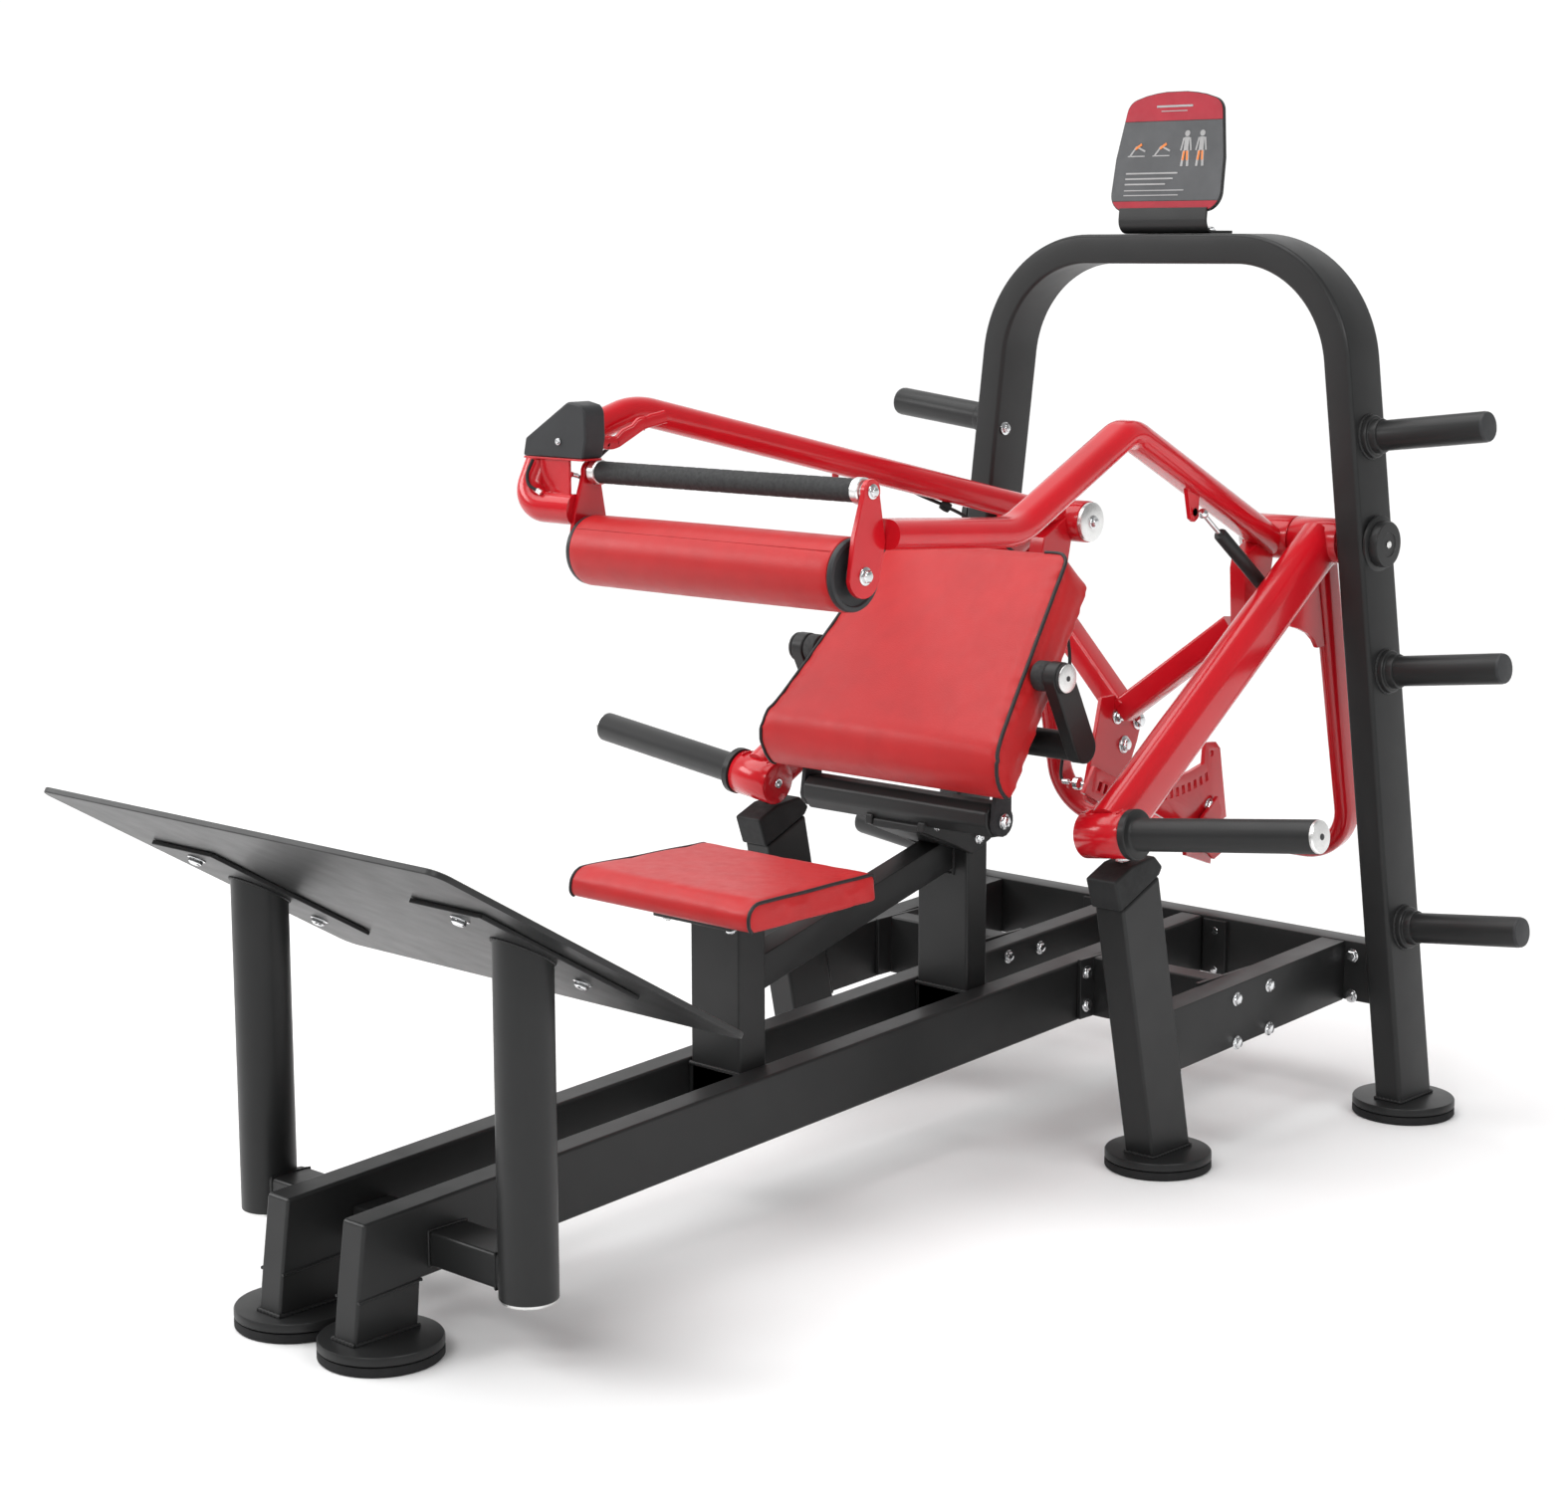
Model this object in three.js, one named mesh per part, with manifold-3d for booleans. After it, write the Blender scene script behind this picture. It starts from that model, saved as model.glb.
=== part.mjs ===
// Plate-loaded hip thrust machine. Millimetres, +Z up, X across, -Y towards the foot plate.
import * as THREE from "three";
import { mergeVertices } from "three/addons/utils/BufferGeometryUtils.js";
import Module from "manifold-3d";

const kernel = await Module();
kernel.setup();

// ---------------------------------------------------------------- driving dimensions
const GAP = 0.4; // clearance between neighbouring parts
const WALL = 3; // wall of the frame tubes
const MIDDLE_Y = 25; // moves the whole machine so that its box is centred on the origin

const RAIL_IN = 55; // inner face of each main rail
const RAIL_OUT = 99;
const RAIL_H = 99;
const RAIL_RISE = 0.049; // the rails climb towards the back
const RAIL_FRONT_Y = -980;
const RAIL_FRONT_Z = 183.4;
const REAR_BEAM_Y = [850, 894];

const FOOT_R = 82;
const FOOT_H = 27.6;
const FEET = {
  front: [86.4, -947.7],
  middle: [358.2, 366],
  rear: [486.8, 869.6],
};

const PLATE_HALF = 400; // foot plate, half width
const PLATE_LOW = [-593, 400];
const PLATE_HIGH = [-1104, 696.3];
const PLATE_T = 8;
const POST_X = 264;
const POST_Y = -852.5;
const POST_R = 38.6;

const PIVOT_Y = 870; // main axis of the weight arm and the hip yoke
const PIVOT_Z = 926;
const AXLE_R = 20;
const SLEEVE_R = 36;
const YOKE_SLEEVE = [170, 254];
const ARM_SLEEVE = [256, 346];

const LEG_X = 489.6; // arch leg centre at floor level
const LEG_LEAN = 0.117;
const LEG_W = 48.6;
const LEG_D = 96.5;
const ARCH_TOP = 1392;
const ARCH_R = 198;
const HORN_R = 24.5;
const HORN_HEIGHTS = { top: 1093, mid: 719, low: 305 };

const HUB_Y = 232;
const HUB_X = 314;
const HUB_Z = 534.7;
const HORN_TILT = 0.125;

const SECTOR_R = 460; // radius of the row of slots
const SECTOR_FIRST = 65.5;
const SECTOR_STEP = 2.2;
const SECTOR_SLOTS = 19;

const ROLLER_Y = -231;
const ROLLER_Z = 956;
const ROLLER_R = 53;
const BAR_Y = -216; // yoke grip bar
const BAR_Z = 1070;

const PAD_TILT = Math.atan2(0.741, 0.672);
const HINGE_Y = 180; // back pad hinge
const HINGE_Z = 546;

// ---------------------------------------------------------------- materials
function paint(color, roughness, metalness) {
  return new THREE.MeshStandardMaterial({ color, roughness, metalness });
}
const BLACK = paint(0x303234, 0.5, 0.3);
const RED = paint(0xc01822, 0.28, 0.35);
const VINYL = paint(0xc5393b, 0.55, 0);
const RUBBER = paint(0x1c1d1e, 0.85, 0);
const STEEL = paint(0xc9ccce, 0.2, 1);
const BOARD = paint(0x26272a, 0.7, 0);

// ---------------------------------------------------------------- solids
function toSolid(geometry) {
  const flat = geometry.index ? geometry.toNonIndexed() : geometry;
  const bare = new THREE.BufferGeometry();
  bare.setAttribute("position", flat.getAttribute("position"));
  const merged = mergeVertices(bare, 1e-4);
  return new kernel.Manifold(
    new kernel.Mesh({
      numProp: 3,
      vertProperties: merged.attributes.position.array,
      triVerts: new Uint32Array(merged.index.array),
    }),
  );
}

function toGeometry(solid) {
  const mesh = solid.getMesh();
  const geometry = new THREE.BufferGeometry();
  geometry.setAttribute("position", new THREE.BufferAttribute(mesh.vertProperties, 3));
  geometry.setIndex(new THREE.BufferAttribute(mesh.triVerts, 1));
  return geometry;
}

function join(...parts) {
  return toGeometry(parts.map(toSolid).reduce((a, b) => a.add(b)));
}

function cut(base, ...tools) {
  return toGeometry(tools.map(toSolid).reduce((a, b) => a.subtract(b), toSolid(base)));
}

function common(a, b) {
  return toGeometry(toSolid(a).intersect(toSolid(b)));
}

function mirrored(geometry) {
  const flat = geometry.index ? geometry.toNonIndexed() : geometry.clone();
  const from = flat.getAttribute("position");
  const out = new Float32Array(from.count * 3);
  for (let i = 0; i < from.count; i += 3) {
    [0, 2, 1].forEach((k, j) => {
      out[(i + j) * 3] = -from.getX(i + k);
      out[(i + j) * 3 + 1] = from.getY(i + k);
      out[(i + j) * 3 + 2] = from.getZ(i + k);
    });
  }
  const result = new THREE.BufferGeometry();
  result.setAttribute("position", new THREE.BufferAttribute(out, 3));
  return result;
}

function v(x, y, z) {
  return new THREE.Vector3(x, y, z);
}

// Convex section outlines, counter-clockwise.
function ring(r, n) {
  return [...Array(n)].map((_, i) => {
    const a = (2 * Math.PI * (i + 0.5)) / n;
    return [r * Math.cos(a), r * Math.sin(a)];
  });
}

function roundBox(w, h, r, n) {
  const out = [];
  [[1, -1], [1, 1], [-1, 1], [-1, -1]].forEach(([sx, sy], q) => {
    for (let i = 0; i <= n; i++) {
      const a = (Math.PI / 2) * (q - 1 + i / n);
      out.push([sx * (w / 2 - r) + r * Math.cos(a), sy * (h / 2 - r) + r * Math.sin(a)]);
    }
  });
  return out;
}

// A section carried along a path; `side` is the first section axis at the start.
function sweep(path, side, outer, inner = null) {
  const tangents = path.map((p, i) => {
    const a = path[Math.max(i - 1, 0)];
    const b = path[Math.min(i + 1, path.length - 1)];
    return b.clone().sub(a).normalize();
  });
  const loops = inner ? [outer, inner] : [outer];
  const rings = loops.map(() => []);
  let u = side.clone();
  path.forEach((p, i) => {
    const t = tangents[i];
    u = u.clone().addScaledVector(t, -u.dot(t)).normalize();
    const w = t.clone().cross(u);
    loops.forEach((loop, k) => {
      rings[k].push(
        loop.map(([a, b]) => p.clone().addScaledVector(u, a).addScaledVector(w, b)),
      );
    });
  });
  const out = [];
  const tri = (...points) => points.forEach((p) => out.push(p.x, p.y, p.z));
  const n = outer.length;
  const last = path.length - 1;
  rings.forEach((set, k) => {
    for (let i = 0; i < last; i++) {
      for (let j = 0; j < n; j++) {
        const q = (j + 1) % n;
        const quad = [set[i][j], set[i][q], set[i + 1][q], set[i + 1][j]];
        if (k) quad.reverse();
        tri(quad[0], quad[1], quad[2]);
        tri(quad[0], quad[2], quad[3]);
      }
    }
  });
  for (let j = 0; j < n; j++) {
    const q = (j + 1) % n;
    if (inner) {
      const [o, h] = rings;
      tri(o[last][j], o[last][q], h[last][q]);
      tri(o[last][j], h[last][q], h[last][j]);
      tri(o[0][j], h[0][q], o[0][q]);
      tri(o[0][j], h[0][j], h[0][q]);
    } else if (j > 0 && j < n - 1) {
      tri(rings[0][last][0], rings[0][last][j], rings[0][last][q]);
      tri(rings[0][0][0], rings[0][0][q], rings[0][0][j]);
    }
  }
  const geometry = new THREE.BufferGeometry();
  geometry.setAttribute("position", new THREE.Float32BufferAttribute(out, 3));
  return geometry;
}

// The points of a polyline with its inner corners rounded.
function rounded(points, radii, steps) {
  const out = [points[0]];
  for (let i = 1; i < points.length - 1; i++) {
    const a = points[i - 1].clone().sub(points[i]).normalize();
    const b = points[i + 1].clone().sub(points[i]).normalize();
    const half = a.angleTo(b) / 2;
    const reach = radii[i - 1] / Math.tan(half);
    const middle = a.clone().add(b).normalize();
    const centre = points[i].clone().addScaledVector(middle, radii[i - 1] / Math.sin(half));
    const start = points[i].clone().addScaledVector(a, reach).sub(centre);
    const end = points[i].clone().addScaledVector(b, reach).sub(centre);
    const turn = start.angleTo(end);
    for (let k = 0; k <= steps; k++) {
      const s = Math.sin(turn * (1 - k / steps)) / Math.sin(turn);
      const e = Math.sin((turn * k) / steps) / Math.sin(turn);
      out.push(centre.clone().addScaledVector(start, s).addScaledVector(end, e));
    }
  }
  out.push(points[points.length - 1]);
  return out;
}

function rod(from, to, r, n = 20) {
  return sweep([from, to], perpendicular(from, to), ring(r, n));
}

function perpendicular(from, to) {
  const d = to.clone().sub(from).normalize();
  return Math.abs(d.x) > 0.9 ? v(0, 1, 0) : v(1, 0, 0);
}

// An outline of [y, z] points made into a plate between two X values.
function sidePlate(outline, x0, x1, holes = []) {
  const geometry = extruded(outline, x1 - x0, holes);
  return geometry.applyMatrix4(
    new THREE.Matrix4().makeBasis(v(0, 1, 0), v(0, 0, 1), v(1, 0, 0)).setPosition(x0, 0, 0),
  );
}

// An outline of [x, z] points made into a plate between two Y values.
function frontPlate(outline, y0, y1) {
  const geometry = extruded(outline, y1 - y0);
  return geometry.applyMatrix4(
    new THREE.Matrix4().makeBasis(v(1, 0, 0), v(0, 0, 1), v(0, -1, 0)).setPosition(0, y1, 0),
  );
}

function extruded(outline, depth, holes = []) {
  const shape = new THREE.Shape(outline.map(([a, b]) => new THREE.Vector2(a, b)));
  holes.forEach((h) => {
    shape.holes.push(new THREE.Path(h.map(([a, b]) => new THREE.Vector2(a, b))));
  });
  return new THREE.ExtrudeGeometry(shape, { depth, bevelEnabled: false, steps: 1 });
}

function box(x0, x1, y0, y1, z0, z1) {
  const geometry = new THREE.BoxGeometry(x1 - x0, y1 - y0, z1 - z0);
  return geometry.translate((x0 + x1) / 2, (y0 + y1) / 2, (z0 + z1) / 2);
}

// A profile of [radius, distance] points turned about the axis from `at` along `along`.
function turned(profile, segments, at, along) {
  const lathe = new THREE.LatheGeometry(
    profile.map(([r, h]) => new THREE.Vector2(r, h)),
    segments,
  );
  const turn = new THREE.Quaternion().setFromUnitVectors(v(0, 1, 0), along.clone().normalize());
  return lathe.applyMatrix4(new THREE.Matrix4().compose(at, turn, v(1, 1, 1)));
}

// ---------------------------------------------------------------- the machine
const machine = new THREE.Group();
machine.name = "hip_thrust_machine";
machine.position.y = MIDDLE_Y;

function add(name, geometry, material) {
  const mesh = new THREE.Mesh(geometry, material);
  mesh.name = name;
  machine.add(mesh);
}

function addPair(name, geometry, material) {
  add(name + "_right", geometry, material);
  add(name + "_left", mirrored(geometry), material);
}

function railTop(y) {
  return RAIL_FRONT_Z + RAIL_RISE * (y - RAIL_FRONT_Y);
}

function legX(z) {
  return LEG_X - LEG_LEAN * z;
}

// Main rails with their front legs: one welded, hollow tube each, open at the back and below.
const railEnd = REAR_BEAM_Y[0] - GAP;
const railOuter = join(
  sidePlate(
    [
      [RAIL_FRONT_Y, RAIL_FRONT_Z],
      [-993, 84.4],
      [railEnd, railTop(railEnd) - RAIL_H],
      [railEnd, railTop(railEnd)],
    ],
    RAIL_IN,
    RAIL_OUT,
  ),
  sidePlate([[-991, 100], [-1000, 28], [-895, 28], [-889, 100]], RAIL_IN, RAIL_OUT),
);
const railHollow = join(
  sidePlate(
    [
      [RAIL_FRONT_Y + 4, RAIL_FRONT_Z - WALL],
      [-989, 84.4 + WALL],
      [railEnd + 5, railTop(railEnd) - RAIL_H + WALL],
      [railEnd + 5, railTop(railEnd) - WALL],
    ],
    RAIL_IN + WALL,
    RAIL_OUT - WALL,
  ),
  sidePlate([[-987, 105], [-997, 20], [-898, 20], [-893, 105]], RAIL_IN + WALL, RAIL_OUT - WALL),
);
addPair("main_rail", cut(railOuter, railHollow), BLACK);

// Feet: a steel flange over a rubber ring, one turned part each.
const footProfile = [
  [0, 0],
  [FOOT_R, 0],
  [FOOT_R, 12.5],
  [79, 13.5],
  [79, 15],
  [FOOT_R, 16],
  [FOOT_R, FOOT_H],
  [0, FOOT_H],
];
for (const [place, [x, y]] of Object.entries(FEET)) {
  addPair("foot_" + place, turned(footProfile, 22, v(x, y, 0), v(0, 0, 1)), RUBBER);
}

// Foot plate and the two posts that carry it.
const plateRun = v(0, PLATE_HIGH[0] - PLATE_LOW[0], PLATE_HIGH[1] - PLATE_LOW[1]);
const plateLength = plateRun.length();
plateRun.normalize();
const plateDown = v(1, 0, 0).cross(plateRun);
const plateOutline = roundBox(2 * PLATE_HALF, plateLength, 22, 4);
add(
  "foot_plate",
  extruded(plateOutline, PLATE_T).applyMatrix4(
    new THREE.Matrix4()
      .makeBasis(v(1, 0, 0), plateRun, plateDown)
      .setPosition(
        v(0, PLATE_LOW[0], PLATE_LOW[1])
          .addScaledVector(plateRun, plateLength / 2)
          .addScaledVector(plateDown, -PLATE_T),
      ),
  ),
  BLACK,
);

function underPlate(y, drop) {
  const slope = (PLATE_HIGH[1] - PLATE_LOW[1]) / (PLATE_HIGH[0] - PLATE_LOW[0]);
  return PLATE_LOW[1] + slope * (y - PLATE_LOW[0]) - drop;
}
const postSection = ring(POST_R, 28);
const postBore = ring(POST_R - WALL, 28);
const postTube = (section) =>
  sweep([v(POST_X, POST_Y, 96), v(POST_X, POST_Y, 700)], v(1, 0, 0), section);
const abovePlate = sidePlate(
  [
    [-1200, underPlate(-1200, GAP)],
    [-500, underPlate(-500, GAP)],
    [-500, 1200],
    [-1200, 1200],
  ],
  100,
  450,
);
const postPad = sidePlate(
  [
    [-975, underPlate(-975, 7)],
    [-716, underPlate(-716, 7)],
    [-716, underPlate(-716, GAP)],
    [-975, underPlate(-975, GAP)],
  ],
  POST_X - 66,
  POST_X + 66,
);
const crossTube = box(RAIL_OUT + GAP, POST_X - 20, -876, -811, 103, 150);
const crossBore = box(RAIL_OUT - 10, POST_X - 32, -873, -814, 106, 147);
const postInside = cut(
  postTube(postBore).translate(0, 0, -8),
  sidePlate(
    [
      [-1200, underPlate(-1200, 12)],
      [-500, underPlate(-500, 12)],
      [-500, 1200],
      [-1200, 1200],
    ],
    100,
    450,
  ),
);
addPair(
  "plate_post",
  cut(join(cut(postTube(postSection), abovePlate), postPad, crossTube), postInside, crossBore),
  BLACK,
);

// Seat post, seat board and seat pad.
const seatBase = railTop(-214) - RAIL_H + 3;
add(
  "seat_post",
  cut(
    join(
      box(-50, 50, -242, -186, seatBase, 447.6),
      box(-RAIL_IN + GAP, RAIL_IN - GAP, -242, -186, seatBase, railTop(-214) - 8),
    ),
    box(-47, 47, -239, -189, seatBase - 5, 444),
  ),
  BLACK,
);
add("seat_board", box(-125, 125, -290, -100, 448, 460), BOARD);

function cushion(profile, outline, x, matrix) {
  const side = sidePlate(profile, -x, x);
  const face = extruded(outline, 900);
  return common(side, face).applyMatrix4(matrix);
}
function arcPoints(cy, cz, r, from, to, n) {
  return [...Array(n + 1)].map((_, i) => {
    const a = THREE.MathUtils.degToRad(from + ((to - from) * i) / n);
    return [cy + r * Math.cos(a), cz + r * Math.sin(a)];
  });
}
const seatProfile = [
  ...arcPoints(-335, 479, 28, 180, 90, 6),
  ...arcPoints(-90, 495, 12, 90, 0, 3),
  [-78, 460.4],
  ...arcPoints(-349, 473.4, 13, 270, 180, 2),
].reverse();
const seatOutline = [
  [-184, -363],
  [184, -363],
  [173, -77],
  [-173, -77],
];
add("seat_pad", cushion(seatProfile, seatOutline, 190, new THREE.Matrix4()), VINYL);

// Brace between the seat post and the back post.
const braceLine = (y, dz) => 341 + 0.26 * (y + 186) + dz;
const braceBar = (y0, y1, half, x) =>
  sidePlate(
    [
      [y0, braceLine(y0, -half)],
      [y1, braceLine(y1, -half)],
      [y1, braceLine(y1, half)],
      [y0, braceLine(y0, half)],
    ],
    -x,
    x,
  );
add(
  "brace_tube",
  cut(braceBar(-186 + GAP, 274 - GAP, 26, 22), braceBar(-200, 290, 23, 19)),
  BLACK,
);

// Back post with the welded carrier of the back pad's hinge.
const backBase = railTop(299) - RAIL_H + 3;
const hingeBody = [
  [166, 521],
  [198, 519],
  [208, 535],
  [208, 560],
  [196, 573],
  [164, 573],
  [152, 560],
  [152, 540],
];
add(
  "back_post",
  cut(
    join(
      box(-51, 51, 274, 324, backBase, 497),
      box(-RAIL_IN + GAP, RAIL_IN - GAP, 274, 324, backBase, railTop(299) - 8),
      sidePlate(hingeBody, -186, 186),
      sidePlate(
        [[158, 528], [156, 514], [276, 456], [322, 480], [324, 506], [262, 516], [204, 552]],
        -60,
        60,
      ),
    ),
    box(-48, 48, 277, 321, backBase - 5, 470),
    braceBar(-100, 274, 26 + GAP, 22 + GAP),
    rod(v(-200, HINGE_Y, HINGE_Z), v(200, HINGE_Y, HINGE_Z), 12, 16),
  ),
  BLACK,
);
// Back pad on its board. In the pad's own frame Y runs up the face and Z out of it.
const padUp = v(0, Math.cos(PAD_TILT), Math.sin(PAD_TILT));
const padOut = v(0, -Math.sin(PAD_TILT), Math.cos(PAD_TILT));
const padFrame = new THREE.Matrix4().makeBasis(v(1, 0, 0), padUp, padOut);
function onPad(s, n) {
  return [s * padUp.y + n * padOut.y, s * padUp.z + n * padOut.z];
}
const padFace = 366;
const padBack = 286.4;
const padProfile = [
  [530, padBack],
  [940, padBack],
  ...arcPoints(928, padFace - 12, 12, 0, 90, 3),
  ...arcPoints(588, padFace - 62, 62, 90, 190, 9),
];
const padOutline = [
  [-240, 500],
  [240, 500],
  [240, 556],
  [186, 908],
  [180, 924],
  [166, 935],
  [138, 941],
  [-138, 941],
  [-166, 935],
  [-180, 924],
  [-186, 908],
  [-240, 556],
];
add("back_pad", cushion(padProfile, padOutline, 250, padFrame), VINYL);
const lugOutline = [
  ...arcPoints(HINGE_Y, HINGE_Z, 24, 185, 395, 10),
  onPad(600, 275),
  onPad(560, 284),
];
const lug = sidePlate(lugOutline, 188, 196);
const boardShape = extruded(
  [[-205, 548], [205, 548], [164, 915], [-164, 915]],
  12,
).applyMatrix4(new THREE.Matrix4().makeTranslation(0, 0, padBack - GAP - 12));
const hingePin = rod(v(-199, HINGE_Y, HINGE_Z), v(199, HINGE_Y, HINGE_Z), 11.5, 16);
add(
  "back_board",
  join(boardShape.applyMatrix4(padFrame), lug, mirrored(lug), hingePin),
  BOARD,
);

// Side handles of the back pad, on a cross bar behind it.
const crossBar = v(0, 292, 651);
const gripAxis = v(0, 234, 764);
const barLug = sidePlate([onPad(645, 273.6), [274, 644], [296, 668], onPad(683, 273.6)], 90, 104);
add(
  "pad_handle_bar",
  join(rod(v(-241.6, 292, 651), v(241.6, 292, 651), 22), barLug, mirrored(barLug)),
  BLACK,
);
addPair(
  "pad_handle",
  join(
    sidePlate(
      [
        ...arcPoints(gripAxis.y, gripAxis.z, 24, 23, 203, 8),
        ...arcPoints(crossBar.y, crossBar.z, 24, 203, 383, 8),
      ],
      242,
      266,
    ),
    rod(v(218, gripAxis.y, gripAxis.z), v(273, gripAxis.y, gripAxis.z), 23, 20),
  ),
  RUBBER,
);

// Stop posts, the bumper blocks on them, side beams and cross beams.
const stopFront = (z) => 230 - 0.218 * (z - 420);
const stopRear = (z) => 319 - 0.2157 * (z - 467.5);
const stopSkin = (d, zLow, zHigh) => [
  [stopFront(zLow) + d, zLow],
  [stopRear(zLow) - d, zLow],
  [stopRear(468) - d, 468 + zHigh],
  [stopFront(429) + d, 429 + zHigh],
];
addPair(
  "stop_post",
  cut(
    sidePlate(stopSkin(0, FOOT_H + GAP, 0), 332, 385),
    sidePlate(stopSkin(WALL, FOOT_H - 5, 5), 332 + WALL, 385 - WALL),
  ),
  BLACK,
);
addPair(
  "bumper_block",
  sidePlate(
    [[222, 427.4], [318, 468.6], [326, 481], [306, 500], [249, 493.5], [205, 475]],
    331,
    386,
  ),
  RUBBER,
);
const sideBeam = (d, over) => [
  [stopRear(railTop(390) - RAIL_H) + GAP - over, railTop(390) - RAIL_H + d],
  [railEnd + over, railTop(railEnd) - RAIL_H + d],
  [railEnd + over, railTop(railEnd) - d],
  [stopRear(railTop(370)) + GAP - over, railTop(370) - d],
];
addPair(
  "side_beam",
  cut(sidePlate(sideBeam(0, 0), 336, 380), sidePlate(sideBeam(WALL, 9), 336 + WALL, 380 - WALL)),
  BLACK,
);
const crossTop = railTop(554);
addPair(
  "cross_beam",
  cut(
    join(
      box(RAIL_OUT + GAP, 336 - GAP, 532, 576, crossTop - RAIL_H, crossTop),
      box(RAIL_OUT + GAP, RAIL_OUT + 8, 497, 611, crossTop - RAIL_H + 1, crossTop + 1),
    ),
    box(RAIL_OUT + 9, 340, 535, 573, crossTop - RAIL_H + WALL, crossTop - WALL),
  ),
  BLACK,
);
const rearTop = railTop(872);
const legFace = (z) => legX(z) - LEG_W / 2 - GAP - 0.4;
const rearOutline = (d, over) => [
  [-legFace(rearTop - RAIL_H) - over, rearTop - RAIL_H + d],
  [legFace(rearTop - RAIL_H) + over, rearTop - RAIL_H + d],
  [legFace(rearTop) + over, rearTop - d],
  [-legFace(rearTop) - over, rearTop - d],
];
add(
  "rear_beam",
  cut(
    frontPlate(rearOutline(0, 0), REAR_BEAM_Y[0], REAR_BEAM_Y[1]),
    frontPlate(rearOutline(WALL, 9), REAR_BEAM_Y[0] + WALL, REAR_BEAM_Y[1] - WALL),
  ),
  BLACK,
);

// Arch: one bent rectangular tube, bored for the main axle, with the foot of the placard.
const archPath = rounded(
  [
    v(legX(0), PIVOT_Y, 0),
    v(legX(ARCH_TOP), PIVOT_Y, ARCH_TOP),
    v(-legX(ARCH_TOP), PIVOT_Y, ARCH_TOP),
    v(-legX(0), PIVOT_Y, 0),
  ],
  [ARCH_R, ARCH_R],
  7,
);
const archTube = sweep(
  archPath,
  v(0, 1, 0),
  roundBox(LEG_D, LEG_W, 5, 1),
  roundBox(LEG_D - 2 * WALL, LEG_W - 2 * WALL, 3, 1),
);
add(
  "arch_frame",
  cut(
    join(
      archTube,
      box(-92, 92, 846, 905, ARCH_TOP + LEG_W / 2 - 1, ARCH_TOP + LEG_W / 2 + 5),
      box(-86, 86, 852, 858, ARCH_TOP + LEG_W / 2 - 1, ARCH_TOP + LEG_W / 2 + 90),
    ),
    box(-700, 700, 700, 1000, -60, FOOT_H + GAP),
    rod(v(-500, PIVOT_Y, PIVOT_Z), v(500, PIVOT_Y, PIVOT_Z), AXLE_R + GAP, 24),
  ),
  BLACK,
);
const placardOutline = [
  [-92, 0],
  [92, 0],
  [112, 22],
  [108, 100],
  [93, 172],
  [70, 188],
  [35, 197],
  [-35, 197],
  [-70, 188],
  [-93, 172],
  [-108, 100],
  [-112, 22],
];
const placardTilt = new THREE.Matrix4()
  .makeRotationX(THREE.MathUtils.degToRad(-9.5))
  .setPosition(0, 834, 1453);
add("placard", frontPlate(placardOutline, 0, 7).applyMatrix4(placardTilt), BLACK);

// Storage horns, square to the leaning legs.
const hornProfile = [
  [0, 0],
  [34, 0],
  [34, 11],
  [28, 12],
  [28, 24],
  [HORN_R, 27],
  [HORN_R, 212],
  [0, 212],
];
const outwards = v(1, 0, LEG_LEAN).normalize();
for (const [place, z] of Object.entries(HORN_HEIGHTS)) {
  const root = v(legX(z), PIVOT_Y, z).addScaledVector(outwards, LEG_W / 2 + GAP);
  addPair("storage_horn_" + place, turned(hornProfile, 18, root, outwards), BLACK);
}

// Stub axles: a disc on the leg's outer face, the shaft and a retaining cap at its inner end.
const axleFace = legX(PIVOT_Z) + LEG_W / 2 + 5.5;
addPair(
  "stub_axle",
  join(
    rod(v(YOKE_SLEEVE[0] - 8, PIVOT_Y, PIVOT_Z), v(axleFace + 4, PIVOT_Y, PIVOT_Z), AXLE_R, 24),
    rod(v(axleFace, PIVOT_Y, PIVOT_Z), v(axleFace + 15, PIVOT_Y, PIVOT_Z), 37, 28),
    rod(
      v(YOKE_SLEEVE[0] - 9, PIVOT_Y, PIVOT_Z),
      v(YOKE_SLEEVE[0] - GAP, PIVOT_Y, PIVOT_Z),
      34,
      28,
    ),
  ),
  STEEL,
);

// ---------------------------------------------------------------- weight arm
const bore = rod(v(100, PIVOT_Y, PIVOT_Z), v(420, PIVOT_Y, PIVOT_Z), AXLE_R + GAP, 24);
const hubAxis = v(1, 0, HORN_TILT).normalize();
const hubRoot = v(HUB_X, HUB_Y, HUB_Z);
const alongHub = (d) => hubRoot.clone().addScaledVector(hubAxis, d);
const armTop = v(302, PIVOT_Y, PIVOT_Z);
const armEnd = alongHub(38);
const armDir = armEnd.clone().sub(armTop).normalize();
const alongArm = (d) => armTop.clone().addScaledVector(armDir, d);
const armLength = armTop.distanceTo(armEnd);
const armWide = v(1, 0, 0).cross(armDir).normalize();
addPair(
  "weight_arm",
  cut(
    join(
      sweep([alongArm(12), alongArm(armLength - 8)], armWide, roundBox(86, 56, 27.9, 4)),
      rod(alongHub(0), alongHub(80), SLEEVE_R, 24),
      rod(v(ARM_SLEEVE[0], PIVOT_Y, PIVOT_Z), v(ARM_SLEEVE[1], PIVOT_Y, PIVOT_Z), SLEEVE_R, 24),
      sidePlate(
        [[802, 872], [764, 796], [800, 787], [832, 775], [856, 752], [880, 750], [858, 862], [852, 885]],
        299,
        307,
      ),
    ),
    sweep([alongArm(48), alongArm(armLength - 46)], armWide, roundBox(80, 50, 24.9, 3)),
    rod(alongArm(0), alongArm(armLength), 10, 10),
    bore,
    rod(alongHub(4), alongHub(95), HORN_R + GAP, 20),
  ),
  RED,
);
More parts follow.
